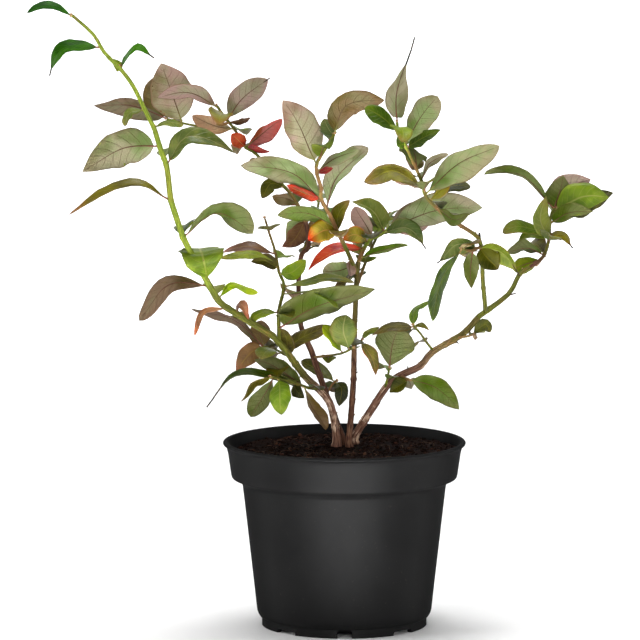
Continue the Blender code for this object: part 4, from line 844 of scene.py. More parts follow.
def putBlade(piece, corners, shares, start, end, lot, cell, slots):
    # the upper and the lower face of a blade, with a thin rim and a base that close them
    rows, columns, count = blade["rows"], blade["columns"], len(corners) // 2
    perRow = columns + 1
    faces, kinds, charts = [], [], []

    def face(points, spots, below=False, turned=False):
        if turned:
            points, spots = points[::-1], spots[::-1]
        left = 0.45 if below else 0.03
        faces.append(points)
        charts.append([((k / columns, t), lot, (cell, left + 0.38 * k / columns, 0.03 + 0.94 * t))
                       for k, t in spots])
        kinds.append(slots[1 if below else 0])

    for below, base in ((False, 0), (True, count)):
        for r in range(rows - 1):
            for k in range(columns):
                a, b = base + r * perRow + k, base + r * perRow + k + 1
                spots = [(k, shares[r]), (k + 1, shares[r]), (k + 1, shares[r + 1]), (k, shares[r + 1])]
                face([a, b, b + perRow, a + perRow], spots, below, below)
        last = base + (rows - 1) * perRow
        for k in range(columns):
            spots = [(k, shares[-1]), (k + 1, shares[-1]), (k + 0.5, end)]
            face([last + k, last + k + 1, 2 * count], spots, below, below)
    for k, turned in ((0, False), (columns, True)):
        for r in range(rows - 1):
            a, b = r * perRow + k, (r + 1) * perRow + k
            spots = [(k, shares[r]), (k, shares[r + 1]), (k, shares[r + 1]), (k, shares[r])]
            face([a, b, count + b, count + a], spots, turned=turned)
    for k in range(columns):
        spots = [(k, start), (k + 1, start), (k + 1, start), (k, start)]
        face([count + k, count + k + 1, k + 1, k], spots)
    piece.put(corners, faces, kinds, charts)


def leafBlade(piece, root, leaf, stalk, cell, slots, seed, thread):
    draw = random.Random(seed)
    length, wide = (Vector(leaf["tip"]) - root).length * 1.08, leaf["width"] / 2
    foldLeft, foldRight = (math.radians(leaf["fold"] + draw.uniform(*blade["folding"])) for _ in range(2))
    shareLeft, shareRight = (1 + draw.uniform(-0.07, 0.05) for _ in range(2))
    wave, waves, phase = blade["wave"] * draw.uniform(0.3, 1.5), draw.uniform(1.3, 2.6), draw.uniform(0, 6.28)
    wave *= min(1.0, 3.2 * wide / length)
    curl = blade["curl"] * draw.uniform(-0.4, 2.0)
    hook = blade["hook"] * length * draw.uniform(-0.2, 1.6)
    sway = draw.uniform(-0.012, 0.012) * length
    route = leafSpine(root, leaf, blade["spine"])
    start, end = growth["stalk"], 1 - thread
    lot = (draw.random(), draw.random())

    def along(t):
        centre, up, across = between(route, t)
        drop = hook * max(0.0, (t - 0.7) / 0.3) ** 2
        return centre + across * sway * math.sin(fullTurn * t) - up * drop, up, across

    top, under, shares = [], [], []
    for r in range(blade["rows"]):
        u = r / blade["rows"]
        t = start + (end - start) * (0.55 * u + 0.45 * (0.5 - 0.5 * math.cos(math.pi * u)))
        shares.append(t)
        centre, up, across = along(t)
        full = wide * bladeHalf(t / end, leaf["widest"])
        full *= 1 + 0.045 * math.sin(waves * 9 * t + phase) * math.sin(math.pi * t)
        for k in range(blade["columns"] + 1):
            v = 2 * k / blade["columns"] - 1
            v = math.copysign(abs(v) ** 0.92, v)
            fold, share, lag = (foldLeft, shareLeft, 1.3) if v < 0 else (foldRight, shareRight, 0.0)
            half = max(full * share, stalk * 0.8)
            ripple = wave * half * math.sin(waves * fullTurn * t + phase + lag) * v * v
            ripple += 0.02 * half * math.sin(waves * 17 * t + phase * 3) * abs(v)
            lift = (math.sqrt(v * v + 0.015) - 0.12) * half * math.sin(fold) + ripple
            lift -= curl * half * v * v * abs(v)
            spot = centre + across * v * half * math.cos(fold) + up * lift
            thick = blade["thickness"] / 2 * (1 - 0.55 * v * v)
            top.append(spot + up * thick)
            under.append(spot - up * thick)
    putBlade(piece, top + under + [along(end)[0]], shares, start, end, lot, cell, slots)

    # the stalk and its rib, which run on past the tip where it has dried to a thread
    rings, sides, ribFrom = blade["ribRings"], blade["ribSides"], blade["ribFrom"]
    ribEnd = 1.0 if thread else blade["ribEnd"]
    corners, kinds, charts = [], [], []
    stations = [ribEnd * (r / rings) ** 1.1 for r in range(rings + 1)]
    for t in stations:
        centre, up, across = along(t)
        if t < ribFrom:
            radius = stalk * (1 - t / ribFrom) + blade["ribRadius"] * t / ribFrom
        else:
            radius = blade["ribRadius"] * (1 - 0.75 * (t - ribFrom) / (ribEnd - ribFrom))
            radius += 0.42 if thread and t > end - 0.1 else 0.0
        down = 0.0 if t < 0.05 else min(1.0, (t - 0.05) / 0.08) * (radius * 0.45 + blade["thickness"] * 0.3)
        if thread and t > end - 0.12:
            down = 0.0
            centre = centre + across * 0.9 * math.sin(9 * (t - end) / thread) * (t - end + 0.12)
        corners += ringRound(centre - up * down, across, up, radius, sides)
    for r in range(rings):
        for k in range(sides):
            kinds.append(slots[3] if thread and stations[r] > end - ribFrom else slots[2])
            charts.append([((kk / sides, stations[rr]), lot,
                            (cell, 0.87 + 0.1 * kk / sides, 0.03 + 0.94 * rr / rings))
                           for kk, rr in ((k, r), (k, r + 1), (k + 1, r + 1), (k + 1, r))])
    faces = ringQuads(rings, sides, True)
    for r, turned in ((0, False), (rings, True)):
        ring = [r * sides + k for k in range(sides)]
        faces.append(ring[::-1] if turned else ring)
        kinds.append(slots[2])
        charts.append([((0.5, r / rings), lot, (cell, 0.92, 0.03 + 0.94 * r / rings))] * sides)
    piece.put(corners, faces, kinds, charts)


def sideVeins(shop, v, across, lot, bend, thin):
    # slanting lines from the rib to the edge, told from the blade's own chart
    comb = (v * blade["veins"] - across * blade["slant"] + bend + lot).maths("FRACT")
    return shop.fade(abs(comb - 0.5), 0.0, thin, 1.0, 0.0)


def leafTop(name, tone):
    shop = Shop(name + " leaf top")
    shop.fix("Specular IOR Level", tone["shine"])
    (u, v), (lot, lotB) = shop.chart("blade"), shop.chart("lot")
    place = shop.spot()
    across = abs(u * 2.0 - 1.0)
    drift, fine, broad = shop.cloud(place, 75.0, 4.0), shop.cloud(place, 900.0, 2.0), shop.cloud(place, 30.0, 2.0)
    colour = shop.mixed(shop.fade(drift + (lot - 0.5) * 0.2, 0.34, 0.64), tone["deep"], tone["top"])
    # paler patches: partly the leaf's own mottling at random, partly painted light over one half of the blade and
    # towards its tip
    pale = shop.fade(broad + (u - 0.5) * (lotB - 0.5) * 0.6 + v * 0.1, 0.46, 0.64)
    colour = shop.mixed(pale * 0.55, colour, shop.toned(colour, 0.492, 0.94, 1.55))
    line = sideVeins(shop, v, across, lot, (drift - 0.5) * 0.5, 0.10)
    line = line * shop.fade(across, 0.04, 0.16) * shop.fade(across, 0.75, 1.0, 1.0, 0.0)
    rib = shop.fade(across, 0.02, 0.075, 1.0, 0.0)
    colour = shop.mixed(line * 0.30, colour, tone["vein"])
    colour = shop.mixed(rib * 0.7, colour, tone["vein"])
    edge = shop.fade(across + (drift - 0.5) * 0.9, 0.74, 1.1) * (0.2 + lotB * 0.8) * tone["edging"]
    colour = shop.mixed(edge, colour, tone["edge"])
    tipShare = shop.fade(v + (drift - 0.5) * 0.6, 0.66, 1.05) * (0.3 + lot * 0.7) * tone["edging"]
    colour = shop.mixed(tipShare, colour, tone["edge"])
    specks = shop.fade(shop.cloud(place, 420.0, 1.0), 0.70, 0.76) * 0.5
    colour = shop.mixed(specks, colour, tone["deep"])
    colour = shop.toned(colour, 0.490 + lotB * 0.02, 1.0 + lot * 0.15, 0.80 + lot * 0.30)
    shop.feed("Base Color", colour)
    shop.feed("Roughness", 0.30 + fine * 0.16 + drift * 0.08)
    shop.relief(line * -0.7 + rib * -0.9 + fine * 0.2 + drift * 0.8, 0.5, 0.0007)
    return shop.material


def leafUnder(name, tone):
    shop = Shop(name + " leaf underside", Roughness=0.7)
    shop.fix("Specular IOR Level", 0.08)
    (u, v), (lot, lotB) = shop.chart("blade"), shop.chart("lot")
    place = shop.spot()
    across = abs(u * 2.0 - 1.0)
    drift, broad = shop.cloud(place, 48.0, 3.0), shop.cloud(place, 38.0, 2.0)
    net = shop.add("ShaderNodeTexVoronoi", {"feature": "DISTANCE_TO_EDGE"}, {"Vector": place, "Scale": 520.0})
    netLine = shop.fade(net, 0.0, 0.10, 1.0, 0.0)
    blush = shop.fade(drift + across * 0.12 + v * 0.14 + (lot - 0.5) * 0.25, 0.46, 0.76) * tone["blushing"]
    colour = shop.mixed(blush, tone["under"], tone["blush"])
    blush = shop.fade(v + (drift - 0.5) * 0.5, 0.70, 1.0) * tone["blushing"] * 0.7
    colour = shop.mixed(blush, colour, tone["blush"])
    # darker, greener patches: partly the leaf's own mottling at random, partly painted shade over one half of the
    # blade and towards its root
    patchesAndPaintedShade = shop.fade(broad + (u - 0.5) * (lotB - 0.5) * 0.5 - v * 0.12, 0.40, 0.60)
    colour = shop.mixed(patchesAndPaintedShade * 0.85, colour, shop.toned(colour, 0.52, 1.4, 0.52))
    line = sideVeins(shop, v, across, lot, (drift - 0.5) * 0.4, 0.08) * shop.fade(across, 0.8, 1.0, 1.0, 0.0)
    for share in (netLine * 0.16, line * 0.30, shop.fade(across, 0.90, 1.0) * 0.85):
        colour = shop.mixed(share, colour, tone["veinUnder"])
    shop.feed("Base Color", shop.toned(colour, 0.494 + lotB * 0.014, 0.95 + lotB * 0.2, 1.05 + lotB * 0.25))
    shop.relief(netLine * 0.35 + line * 0.8 + drift * 0.9, 0.8, 0.0008)
    return shop.material


def ribMaterial():
    shop = Shop("leaf stalk and rib", Roughness=0.5)
    shop.fix("Specular IOR Level", 0.1)
    _, lotB = shop.chart("lot")
    _, v = shop.chart("blade")
    place, tones = shop.spot(), blade["ribTones"]
    colour = shop.mixed(shop.fade(lotB, 0.35, 0.8), tones["red"], tones["green"])
    colour = shop.mixed(shop.fade(v, 0.04, 0.25) * 0.85, colour, tones["dark"])
    colour = shop.mixed(shop.cloud(place, 300.0) * 0.3, colour, tones["speck"])
    shop.feed("Base Color", colour)
    shop.relief(shop.cloud(place, 1500.0), 0.3, 0.0003)
    return shop.material


def driedMaterial():
    shop = Shop("dried leaf", Roughness=0.8)
    shop.fix("Specular IOR Level", 0.1)
    place = shop.spot()
    patch = shop.cloud(place, 160.0, 4.0)
    shop.feed("Base Color", shop.mixed(shop.fade(patch, 0.40, 0.70), *blade["driedTones"]))
    shop.relief(patch + shop.cloud(place, 900.0) * 0.5, 0.6, 0.0008)
    return shop.material


def buildLeaves(grown):
    tints = list(leafTones)
    materials = []
    for tint, row in leafTones.items():
        tone = dict(zip(toneWords, row))
        materials += [leafTop(tint, tone), leafUnder(tint, tone)]
    materials += [ribMaterial(), driedMaterial()]
    total = 0
    for order, (name, leaves) in enumerate(grown.items()):
        if not leaves:
            continue
        piece = Piece(name.replace("_leaves", "") + "_blades")
        used = sorted({tints.index(leaf["tint"]) for _, _, _, leaf in leaves})
        own = [materials[2 * i + k] for i in used for k in (0, 1)] + materials[-2:]
        for cell, (number, root, stalk, leaf) in enumerate(leaves):
            slot = 2 * used.index(tints.index(leaf["tint"]))
            slots = (slot, slot + 1, len(own) - 2, len(own) - 1)
            thread = blade["threads"].get((name, leaf["row"]), 0.0) if leaf["named"] and number == 0 else 0.0
            leafBlade(piece, root, leaf, stalk, cell, slots, 1000 * order + cell, thread)
        if len(own) - 1 not in piece.slots:
            own.pop()
        # the last chart gives each leaf a place of its own to bake to
        across = math.ceil(math.sqrt(len(leaves)))
        down = math.ceil(len(leaves) / across)
        piece.maps = [[(spot, lot, ((cell % across + x) / across, (cell // across + y) / down))
                       for spot, lot, (cell, x, y) in chart] for chart in piece.maps]
        piece.make(own, "autumn_leaf" if name == "upper_left_leaves" else "leaf", [name])
        total += sum(len(face) - 2 for face in piece.faces)
    print("leaves", sum(len(leaves) for leaves in grown.values()), "triangles", total)


bark = {
    "step": 1.0, "limbSides": 20, "twigSides": 12, "snagSides": 8, "swell": 0.11, "swellReach": 1.3,
    # how much thicker than in the CAD model
    "thick": {
        "arch_low_leaves": 1.18, "arch_middle_leaves": 1.2, "arch_upper_leaves": 1.2, "arch_tip_leaves": 1.15,
    },
    # a limb has a node to so many mm, and every second one has a bud
    "nodeEvery": 15, "budRings": 5, "budSides": 7, "budTones": ((0.20, 0.075, 0.035), (0.38, 0.25, 0.09)),
    # a skin: darkest, main and patch colour, how far the patches show, roughness
    "skins": {
        "peeling": ((0.065, 0.030, 0.020), (0.220, 0.110, 0.072), (0.620, 0.430, 0.300), 0.9, 0.8),
        "brown": ((0.035, 0.015, 0.010), (0.115, 0.050, 0.028), (0.220, 0.115, 0.070), 0.60, 0.8),
        "olive": ((0.050, 0.040, 0.010), (0.140, 0.115, 0.028), (0.130, 0.052, 0.026), 0.60, 0.7),
        "green": ((0.045, 0.050, 0.006), (0.115, 0.120, 0.014), (0.140, 0.075, 0.022), 0.55, 0.6),
        "young": ((0.080, 0.120, 0.010), (0.215, 0.265, 0.025), (0.220, 0.150, 0.030), 0.30, 0.6),
        "amber": ((0.110, 0.050, 0.020), (0.240, 0.130, 0.045), (0.260, 0.200, 0.055), 0.60, 0.7),
    },
    # lower skin, upper skin, and the lengths in mm between which one gives way to the other
    "cladding": {
        "left_stem": ("peeling", "green", 46, 82), "brown_stem": ("brown", "brown", 0, 1),
        "middle_stem": ("brown", "olive", 55, 105), "right_stem": ("peeling", "olive", 75, 125),
        "right_bough": ("green", "green", 0, 1), "upright_bough": ("green", "green", 0, 1),
        "upper_right_bough": ("green", "amber", 10, 30), "arch_low_leaves": ("green", "young", 50, 90),
        "arch_middle_leaves": ("young", "young", 0, 1), "arch_upper_leaves": ("young", "young", 0, 1),
        "arch_tip_leaves": ("young", "green", 80, 140), "side_shoot_leaves": ("green", "amber", 60, 110),
        "centre_low_leaves": ("green", "amber", 30, 60), "upper_right_top_leaves": ("amber", "young", 5, 30),
        "right_spray_leaves": ("brown", "green", 8, 30), "right_inner_leaves": ("green", "green", 0, 1),
        "middle_right_leaves": ("amber", "young", 5, 25), "right_low_leaves": ("green", "young", 2, 12),
        "lower_left_leaves": ("green", "green", 0, 1), "back_left_leaves": ("green", "green", 0, 1),
    },
    "otherCladding": ("amber", "green", 8, 40),
    # short dead snags: limb, share, steps from it in mm, thickness
    "snags": [
        ("right_bough", 0.50, ((3.5, -1, 0.6), (7.0, -1.5, 1.8)), (0.75, 0.35)),
        ("upright_bough", 0.97, ((-0.3, 0.5, 3.5), (-0.5, 0.8, 7.0)), (1.1, 0.9)),
        ("left_stem", 0.60, ((-2.8, -1.0, 1.4), (-4.0, -1.2, 3.2)), (0.8, 0.4)),
        ("middle_stem", 0.40, ((2.6, -1.5, 0.8), (3.4, -1.9, 1.6)), (0.7, 0.4)),
        ("right_stem", 0.52, ((-0.5, -1.5, 3.0), (-0.8, -1.8, 4.6)), (0.9, 0.4)),
        ("right_stem", 0.83, ((2.0, -1.2, -2.4), (3.2, -1.5, -3.4)), (0.8, 0.4)),
    ],
}


def barkRelief(x, y, run, angle, rugged, seed):
    # how far the bark stands out at a spot: strips and flakes on old wood, faint ridges on young
    if not rugged:
        ridges = 0.05 * math.cos(3 * angle + run * 0.05 + seed)
        return ridges + 0.03 * noise.noise(Vector((x * 3 + seed, y * 3, run * 0.4)))
    strip = noise.noise(Vector((x * 2.6 + seed, y * 2.6, run * 0.07)))
    flake = noise.noise(Vector((x * 4.5, y * 4.5 + seed, run * 0.22)))
    grit = noise.noise(Vector((x * 9, y * 9, run * 0.8 + seed)))
    return (0.13 * strip + 0.09 * max(0.0, flake) + 0.03 * grit) * rugged


def barkTube(piece, path, girth, sides, slot, rugged, seed, flared=False, nodes=(), capped=True):
    points, length = evenly(path, bark["step"])
    last = len(points) - 1
    corners, charts = [], []
    for i, (point, _, flat, up) in enumerate(carried(points, sideways(headingAt(points, 0))[0])):
        run = length * i / last
        radius = thickAt(girth, run, length)
        if flared:
            radius = flaredAt(radius, run)
        for node in nodes:
            radius *= 1 + bark["swell"] * math.exp(-((run - node * length) / bark["swellReach"]) ** 2)
        if capped and i == last:
            radius *= 0.55
        for k in range(sides):
            angle = fullTurn * k / sides
            x, y = onCircle(1.0, angle)
            offset = barkRelief(x, y, run, angle, rugged, seed)
            corners.append(point + (flat * x + up * y) * radius * (1 + offset))
            if i < last:
                charts.append([((kk / sides, length * ii / last / 100.0), (seed % 1.0, girth[0] / 5.0))
                               for kk, ii in ((k, i), (k + 1, i), (k + 1, i + 1), (k, i + 1))])
    faces = ringQuads(last, sides)
    for ring, turned in ((0, True), (last, False)):
        centre = len(corners)
        push = (points[ring] - points[ring - 1]).normalized() * girth[1] * 0.5 if ring else Vector()
        corners.append(points[ring] + push)
        for k in range(sides):
            a, b = ring * sides + k, ring * sides + (k + 1) % sides
            faces.append([b, a, centre] if turned else [a, b, centre])
            charts.append([((k / sides, length * ring / last / 100.0), (seed % 1.0, 0.0))] * 3)
    piece.put(corners, faces, slot, charts)


def bud(piece, spot, ahead, size):
    flat, up = sideways(ahead)
    rings, sides = bark["budRings"], bark["budSides"]
    corners = []
    for r in range(rings + 1):
        t = r / rings
        radius = size * 0.34 * math.sin(math.pi * min(1.0, t * 0.96 + 0.02)) ** 0.75 * (1.15 - 0.5 * t)
        corners += ringRound(spot + ahead * size * (t - 0.15), flat, up, radius, sides, 0.35 * r)
    faces = ringQuads(rings, sides) + [list(range(sides))[::-1], [rings * sides + k for k in range(sides)]]
    piece.put(corners, faces, 1, plainCharts(faces))


def barkColour(shop, u, v, place, skin):
    dark, main, patch, share, _ = skin
    angle = u * fullTurn
    ring = shop.joined(angle.maths("SINE") * 1.4, angle.maths("COSINE") * 1.4, v * 3.4)
    strip = shop.cloud(ring, 2.6, 5.0, 0.62)
    drift = shop.cloud(place, 70.0, 3.0)
    colour = shop.mixed(shop.fade(strip, 0.36, 0.62), dark, main)
    return shop.mixed(shop.fade(drift + (strip - 0.5) * 0.8, 0.54, 0.66) * share, colour, patch), strip


def barkMaterial(lower, upper, start, end):
    shop = Shop((lower + " to " + upper if lower != upper else lower) + " bark")
    shop.fix("Specular IOR Level", 0.12)
    lowSkin, highSkin = bark["skins"][lower], bark["skins"][upper]
    u, v = shop.chart("blade")
    place = shop.spot()
    colour, strip = barkColour(shop, u, v, place, lowSkin)
    pores = shop.fade(shop.cloud(place, 1300.0, 1.0), 0.6, 0.72)
    if upper != lower:
        change = shop.fade(v * 100.0 + (shop.cloud(place, 90.0, 3.0) - 0.5) * 60.0, start, end)
        colour = shop.mixed(change, colour, barkColour(shop, u, v, place, highSkin)[0])
    shop.feed("Base Color", shop.mixed(pores * 0.3, colour, lowSkin[0]))
    shop.fix("Roughness", (lowSkin[4] + highSkin[4]) / 2)
    shop.relief(strip * 1.4 + pores * -0.3, 0.7, 0.0006)
    return shop.material


def joinedPath(limb, limbs):
    # carried back into what it grows from, so that no joint shows
    if "grows" not in limb:
        return limb["path"]
    parent, share = limb["grows"]
    return [pathAt(limbs[parent]["path"], min(1, share))[0]] + limb["path"]


def buildWood(limbs, grown):
    made = {}
    scales = Shop("bud scales", Roughness=0.5)
    scales.feed("Base Color", scales.mixed(scales.cloud(scales.spot(), 800.0), *bark["budTones"]))
    dead = driedMaterial()
    draw = random.Random(5)
    growing = [*boughs.values(), *(twigs[0] for twigs in masses.values())]
    openEnded = {limb["grows"][0] for limb in growing if limb["grows"][1] >= 1}

    def finish(name, piece):
        key = bark["cladding"].get(name, bark["otherCladding"])
        if key not in made:
            made[key] = barkMaterial(*key)
        bodySlot = "young_bark" if key[0] in ("green", "young") else "brown_bark"
        piece.make([made[key], scales.material, dead][:max(piece.slots) + 1], bodySlot, [name])

    for name in [*stems, *boughs]:
        limb, old = limbs[name], name in stems
        girth = limb["girth"]
        piece = Piece(name + "_bark")
        path = joinedPath(limb, limbs)
        nodes = [draw.uniform(0.12, 0.95) for _ in range(int(runsAlong(path)[-1] / bark["nodeEvery"]))]
        barkTube(piece, path, girth, bark["limbSides"], 0, 1.0 if old else 0.0, draw.uniform(0, 9), old, nodes,
                 name not in openEnded)
        for node in nodes[::2]:
            spot, ahead = pathAt(path, node)
            flat, up = sideways(ahead)
            x, y = onCircle(1.0, draw.uniform(0, 6.28))
            out = flat * x + up * y
            spot = spot + out * thickAt(girth, node) * 0.95
            bud(piece, spot, (out + ahead * 0.9).normalized(), draw.uniform(1.2, 2.0))
        for owner, share, steps, thick in bark["snags"]:
            if owner == name:
                spot, _ = pathAt(path, share)
                snag = [spot] + [spot + Vector(step) for step in steps]
                barkTube(piece, snag, thick, bark["snagSides"], 2, 0.6, share * 9)
        finish(name, piece)
    for name, twigs in masses.items():
        piece = Piece(name.replace("_leaves", "") + "_twigs")
        for number, twig in enumerate(twigs):
            path = joinedPath(twig, limbs)
            leaves = [(root, leaf) for n, root, _, leaf in grown[name] if n == number]
            ends = name not in openEnded or number > 0
            girth = [radius * bark["thick"].get(name, 1.0) for radius in twig["girth"]]
            barkTube(piece, path, girth, bark["twigSides"], 0, 0.0, draw.uniform(0, 9), False,
                     [leaf["place"] for _, leaf in leaves], ends)
            for root, leaf in leaves:
                ahead = leafSpine(root, leaf, 6)[1][1]
                _, heading = pathAt(twig["path"], min(0.98, leaf["place"]))
                out = squareTo(heading, ahead)
                spot = root + out * thickAt(twig["girth"], leaf["place"]) * 0.9 + heading * 0.8
                bud(piece, spot, (out * 0.55 + heading).normalized(), draw.uniform(1.3, 2.1))
            if ends:
                tip, heading = path[-1], (path[-1] - path[-2]).normalized()
                flat, up = sideways(heading)
                for k in range(3):
                    lean = flat * math.cos(2.1 * k) + up * math.sin(2.1 * k)
                    bud(piece, tip + lean * 0.3, (heading + lean * 0.35).normalized(), draw.uniform(1.8, 2.8))
        finish(name, piece)
    print("stems, boughs and twigs done")


pot = {
    "height": 145.0, "lip": 95.0, "collarTop": 92.2, "collarFoot": 88.1, "collarFootZ": 116.5,
    "bodyTop": 79.5, "bodyTopZ": 111.0, "bodyFoot": 68.4, "bodyFootZ": 12.7, "foot": 64.7, "wall": 1.5,
    "pad": 44.0, "floorRise": 5.5, "notches": 4, "steps": 288,
    # open notches and shallow steps in the foot's lower edge: width, height, corner
    "notch": (12.0, 6.6, 2.2), "step": (19.5, 3.0, 0.8),
    "blacks": ((0.0035, 0.0035, 0.0036), (0.0055, 0.0055, 0.0056)), "dust": (0.085, 0.070, 0.060),
}


def potWall(z):
    # the outside radius at a height, above the foot
    low, high, lowZ, highZ = (pot[word] for word in (
        ("collarFoot", "collarTop", "collarFootZ", "height") if z > pot["collarFootZ"]
        else ("bodyFoot", "bodyTop", "bodyFootZ", "bodyTopZ")))
    return low + (high - low) * (z - lowZ) / (highZ - lowZ)


def footCuts():
    # the angle, width, height and corner of each notch and step
    for i in range(pot["notches"]):
        centre = fullTurn * i / pot["notches"] - math.pi / 2
        yield centre, *pot["notch"]
        yield centre + math.pi / pot["notches"], *pot["step"]


def footLift(angle):
    # how far the foot's lower edge is cut up at an angle
    best = 0.0
    for centre, width, height, corner in footCuts():
        off = abs((angle - centre + math.pi) % fullTurn - math.pi) * pot["foot"]
        if off < width / 2:
            into = max(0.0, off - (width / 2 - corner))
            best = max(best, height - corner + math.sqrt(max(0.0, corner ** 2 - into ** 2)))
    return best


def arc(centreR, centreZ, radius, first, last, count):
    points = []
    for i in range(count + 1):
        x, z = onCircle(radius, math.radians(first + (last - first) * i / count))
        points.append((centreR + x, centreZ + z))
    return points


def potMaterial():
    shop = Shop("black moulded plastic")
    shop.fix("Specular IOR Level", 0.08)
    place = shop.spot()
    x, y, z = shop.parts(place)
    drift, grain = shop.cloud(place, 18.0, 3.0), shop.cloud(place, 1500.0, 2.0)
    flow = shop.cloud(shop.joined(x * 260.0, y * 260.0, z * 9.0), 1.0, 3.0)
    dust = shop.fade(shop.cloud(place, 330.0, 2.0), 0.66, 0.75) * shop.fade(drift, 0.42, 0.62)
    colour = shop.mixed(shop.fade(drift, 0.3, 0.7), *pot["blacks"])
    shop.feed("Base Color", shop.mixed(dust * 0.16, colour, pot["dust"]))
    facing = shop.fade(shop.add("ShaderNodeLayerWeight", {}, {"Blend": 0.5}, 1), 0.2, 0.75)
    shop.feed("Roughness", 0.34 + drift * 0.08 + flow * 0.06 + dust * 0.15 + facing * 0.55)
    shop.relief(grain * 0.12 + flow * 0.22, 0.25, 0.0005)
    return shop.material


def potProfile():
    # radius and height round the wall's section, in three runs: outside, foot, and underside with inside
    wall, top, lip, foot, pad, rise = (pot[word] for word in ("wall", "height", "lip", "foot", "pad", "floorRise"))
    collarTop, collarFoot, collarFootZ = pot["collarTop"], pot["collarFoot"], pot["collarFootZ"]
    bodyTop, bodyTopZ, bodyFoot, bodyFootZ = (
        pot[word] for word in ("bodyTop", "bodyTopZ", "bodyFoot", "bodyFootZ"))
    outer = [(collarTop - wall + 0.3, top - 0.25), (collarTop - wall + 0.9, top), (lip - 2.2, top)]
    outer += arc(lip - 1.6, top - 1.35, 1.35, 90, -60, 9)
    outer += [(collarTop + 0.5, top - 3.1), (collarTop - 0.1, top - 3.9)]
    outer += [(potWall(z), z) for z in (top - 10, top - 20, collarFootZ + 2.5)]
    outer += arc(collarFoot - 1.6, collarFootZ + 1.4, 1.6, 0, -80, 5)
    outer += [(collarFoot - 3.6, collarFootZ - 0.9), (bodyTop + 2.2, bodyTopZ + 2.6)]
    outer += [(bodyTop + 0.5, bodyTopZ + 0.9), (bodyTop, bodyTopZ - 0.8)]
    outer += [(potWall(z), z) for z in (bodyTopZ + (bodyFootZ - bodyTopZ) * i / 8 for i in range(1, 9))]
    outer += [(bodyFoot - 0.35, bodyFootZ - 1.6), (bodyFoot - 1.2, bodyFootZ - 3.6)]
    outer += [(foot + 1.4, 7.4), (foot + 0.35, 6.9), (foot, 6.75)]
    lower = [(foot, 3.2), (foot, 0.5), (foot - 0.5, 0.0), (foot - 3.5, 0.0), (foot - 4.0, 0.5), (foot - 4.3, 3.2)]
    inner = [(foot - 4.6, rise + 1.25), (foot - 6.0, rise + 1.3), (pad + 4.2, rise + 1.3), (pad + 3.2, rise)]
    inner += [(pad + 0.4, 0.4), (pad - 0.4, 0.0), (0.0, 0.0)]
    inner += [(0.0, 2.8), (pad, 2.8), (pad + 3.0, rise + 3.0), (bodyFoot - 4.0, rise + 3.0)]
    inner += [(potWall(z) - wall, z) for z in (bodyFootZ + 2, bodyTopZ)]
    inner += [(collarFoot - 3.4 - wall, collarFootZ - 1.0), (collarFoot - wall, collarFootZ + 1.6)]
    inner += [(potWall(z) - wall, z) for z in (top - 20, top - 10, top - 2)]
    return outer, lower, inner


def buildPot():
    outer, lower, inner = potProfile()
    profile = outer + lower + inner
    angles = [fullTurn * i / pot["steps"] for i in range(pot["steps"])]
    for centre, width, _, _ in footCuts():
        for off in (width / 2 - 0.04, width / 2 + 0.04, width / 2 - 0.5, width / 2 - 1.2):
            angles += [(centre + side * off / pot["foot"]) % fullTurn for side in (-1, 1)]
    angles = sorted(set(round(a, 6) for a in angles))
    corners = []
    for angle in angles:
        lift = footLift(angle)
        for i, (r, z) in enumerate(profile):
            cut = len(outer) <= i < len(outer) + len(lower)
            corners.append((*onCircle(r, angle), max(z, lift) if cut else z))
    count, total = len(profile), len(corners)
    faces = []
    for a in range(0, total, count):
        for i in range(count):
            k = (i + 1) % count
            faces.append([a + i, a + k, (a + count) % total + k, (a + count) % total + i])
    piece = Piece("pot_shell")
    piece.put(corners, faces, 0)
    obj = piece.make([potMaterial()], "pot", ["pot"])
    work = bmesh.new()
    work.from_mesh(obj.data)
    bmesh.ops.remove_doubles(work, verts=work.verts, dist=0.000002)
    bmesh.ops.dissolve_degenerate(work, edges=work.edges, dist=0.000001)
    bmesh.ops.recalc_face_normals(work, faces=work.faces)
    work.to_mesh(obj.data)
    work.free()
    obj.data.shade_smooth()
    obj.data.set_sharp_from_angle(angle=math.radians(32))
    print("pot done")


soil = {
    "top": 138.6, "edge": 136.4, "fallTo": 88.0, "rings": 60, "steps": 150, "crumbs": 2600, "chips": 110,
    "fibres": 120, "clear": 4.5,
    # rise in mm, how close its lumps lie, and a lot of its own
    "lumps": ((1.5, 0.028, 3.0), (1.008, 0.11, 7.0), (0.624, 0.33, 1.0)),
    # dark, main and pale colour
    "tones": {
        "moist peat": ((0.0035, 0.0015, 0.0010), (0.016, 0.0065, 0.0042), (0.045, 0.020, 0.012)),
        "bark chips": ((0.016, 0.007, 0.005), (0.055, 0.024, 0.015), (0.110, 0.056, 0.036)),
        "pale root fibres": ((0.040, 0.022, 0.014), (0.120, 0.070, 0.045), (0.220, 0.140, 0.095)),
    },
}


def soilHeight(x, y):
    share = min(1.0, math.hypot(x, y) / soil["fallTo"])
    z = soil["top"] - (soil["top"] - soil["edge"]) * share ** 3 + 0.9 * (x + y) / 120.0
    for rise, close, lot in soil["lumps"]:
        z += rise * noise.noise(Vector((x * close, y * close, lot)))
    return z


def soilMaterial(name, dark, main, pale):
    shop = Shop(name, Roughness=0.93)
    shop.fix("Specular IOR Level", 0.06)
    lot, lotB = shop.chart("lot")
    place = shop.spot()
    coarse, fine = shop.cloud(place, 160.0, 5.0, 0.7), shop.cloud(place, 900.0, 4.0, 0.7)
    colour = shop.mixed(shop.fade(coarse, 0.35, 0.65), dark, main)
    colour = shop.mixed(shop.fade(fine, 0.6, 0.8) * 0.5, colour, pale)
    shop.feed("Base Color", shop.toned(colour, 0.49 + lotB * 0.02, 1.0, 0.55 + lot * 0.9))
    shop.relief(coarse * 0.8 + fine, 0.9, 0.0012)
    return shop.material


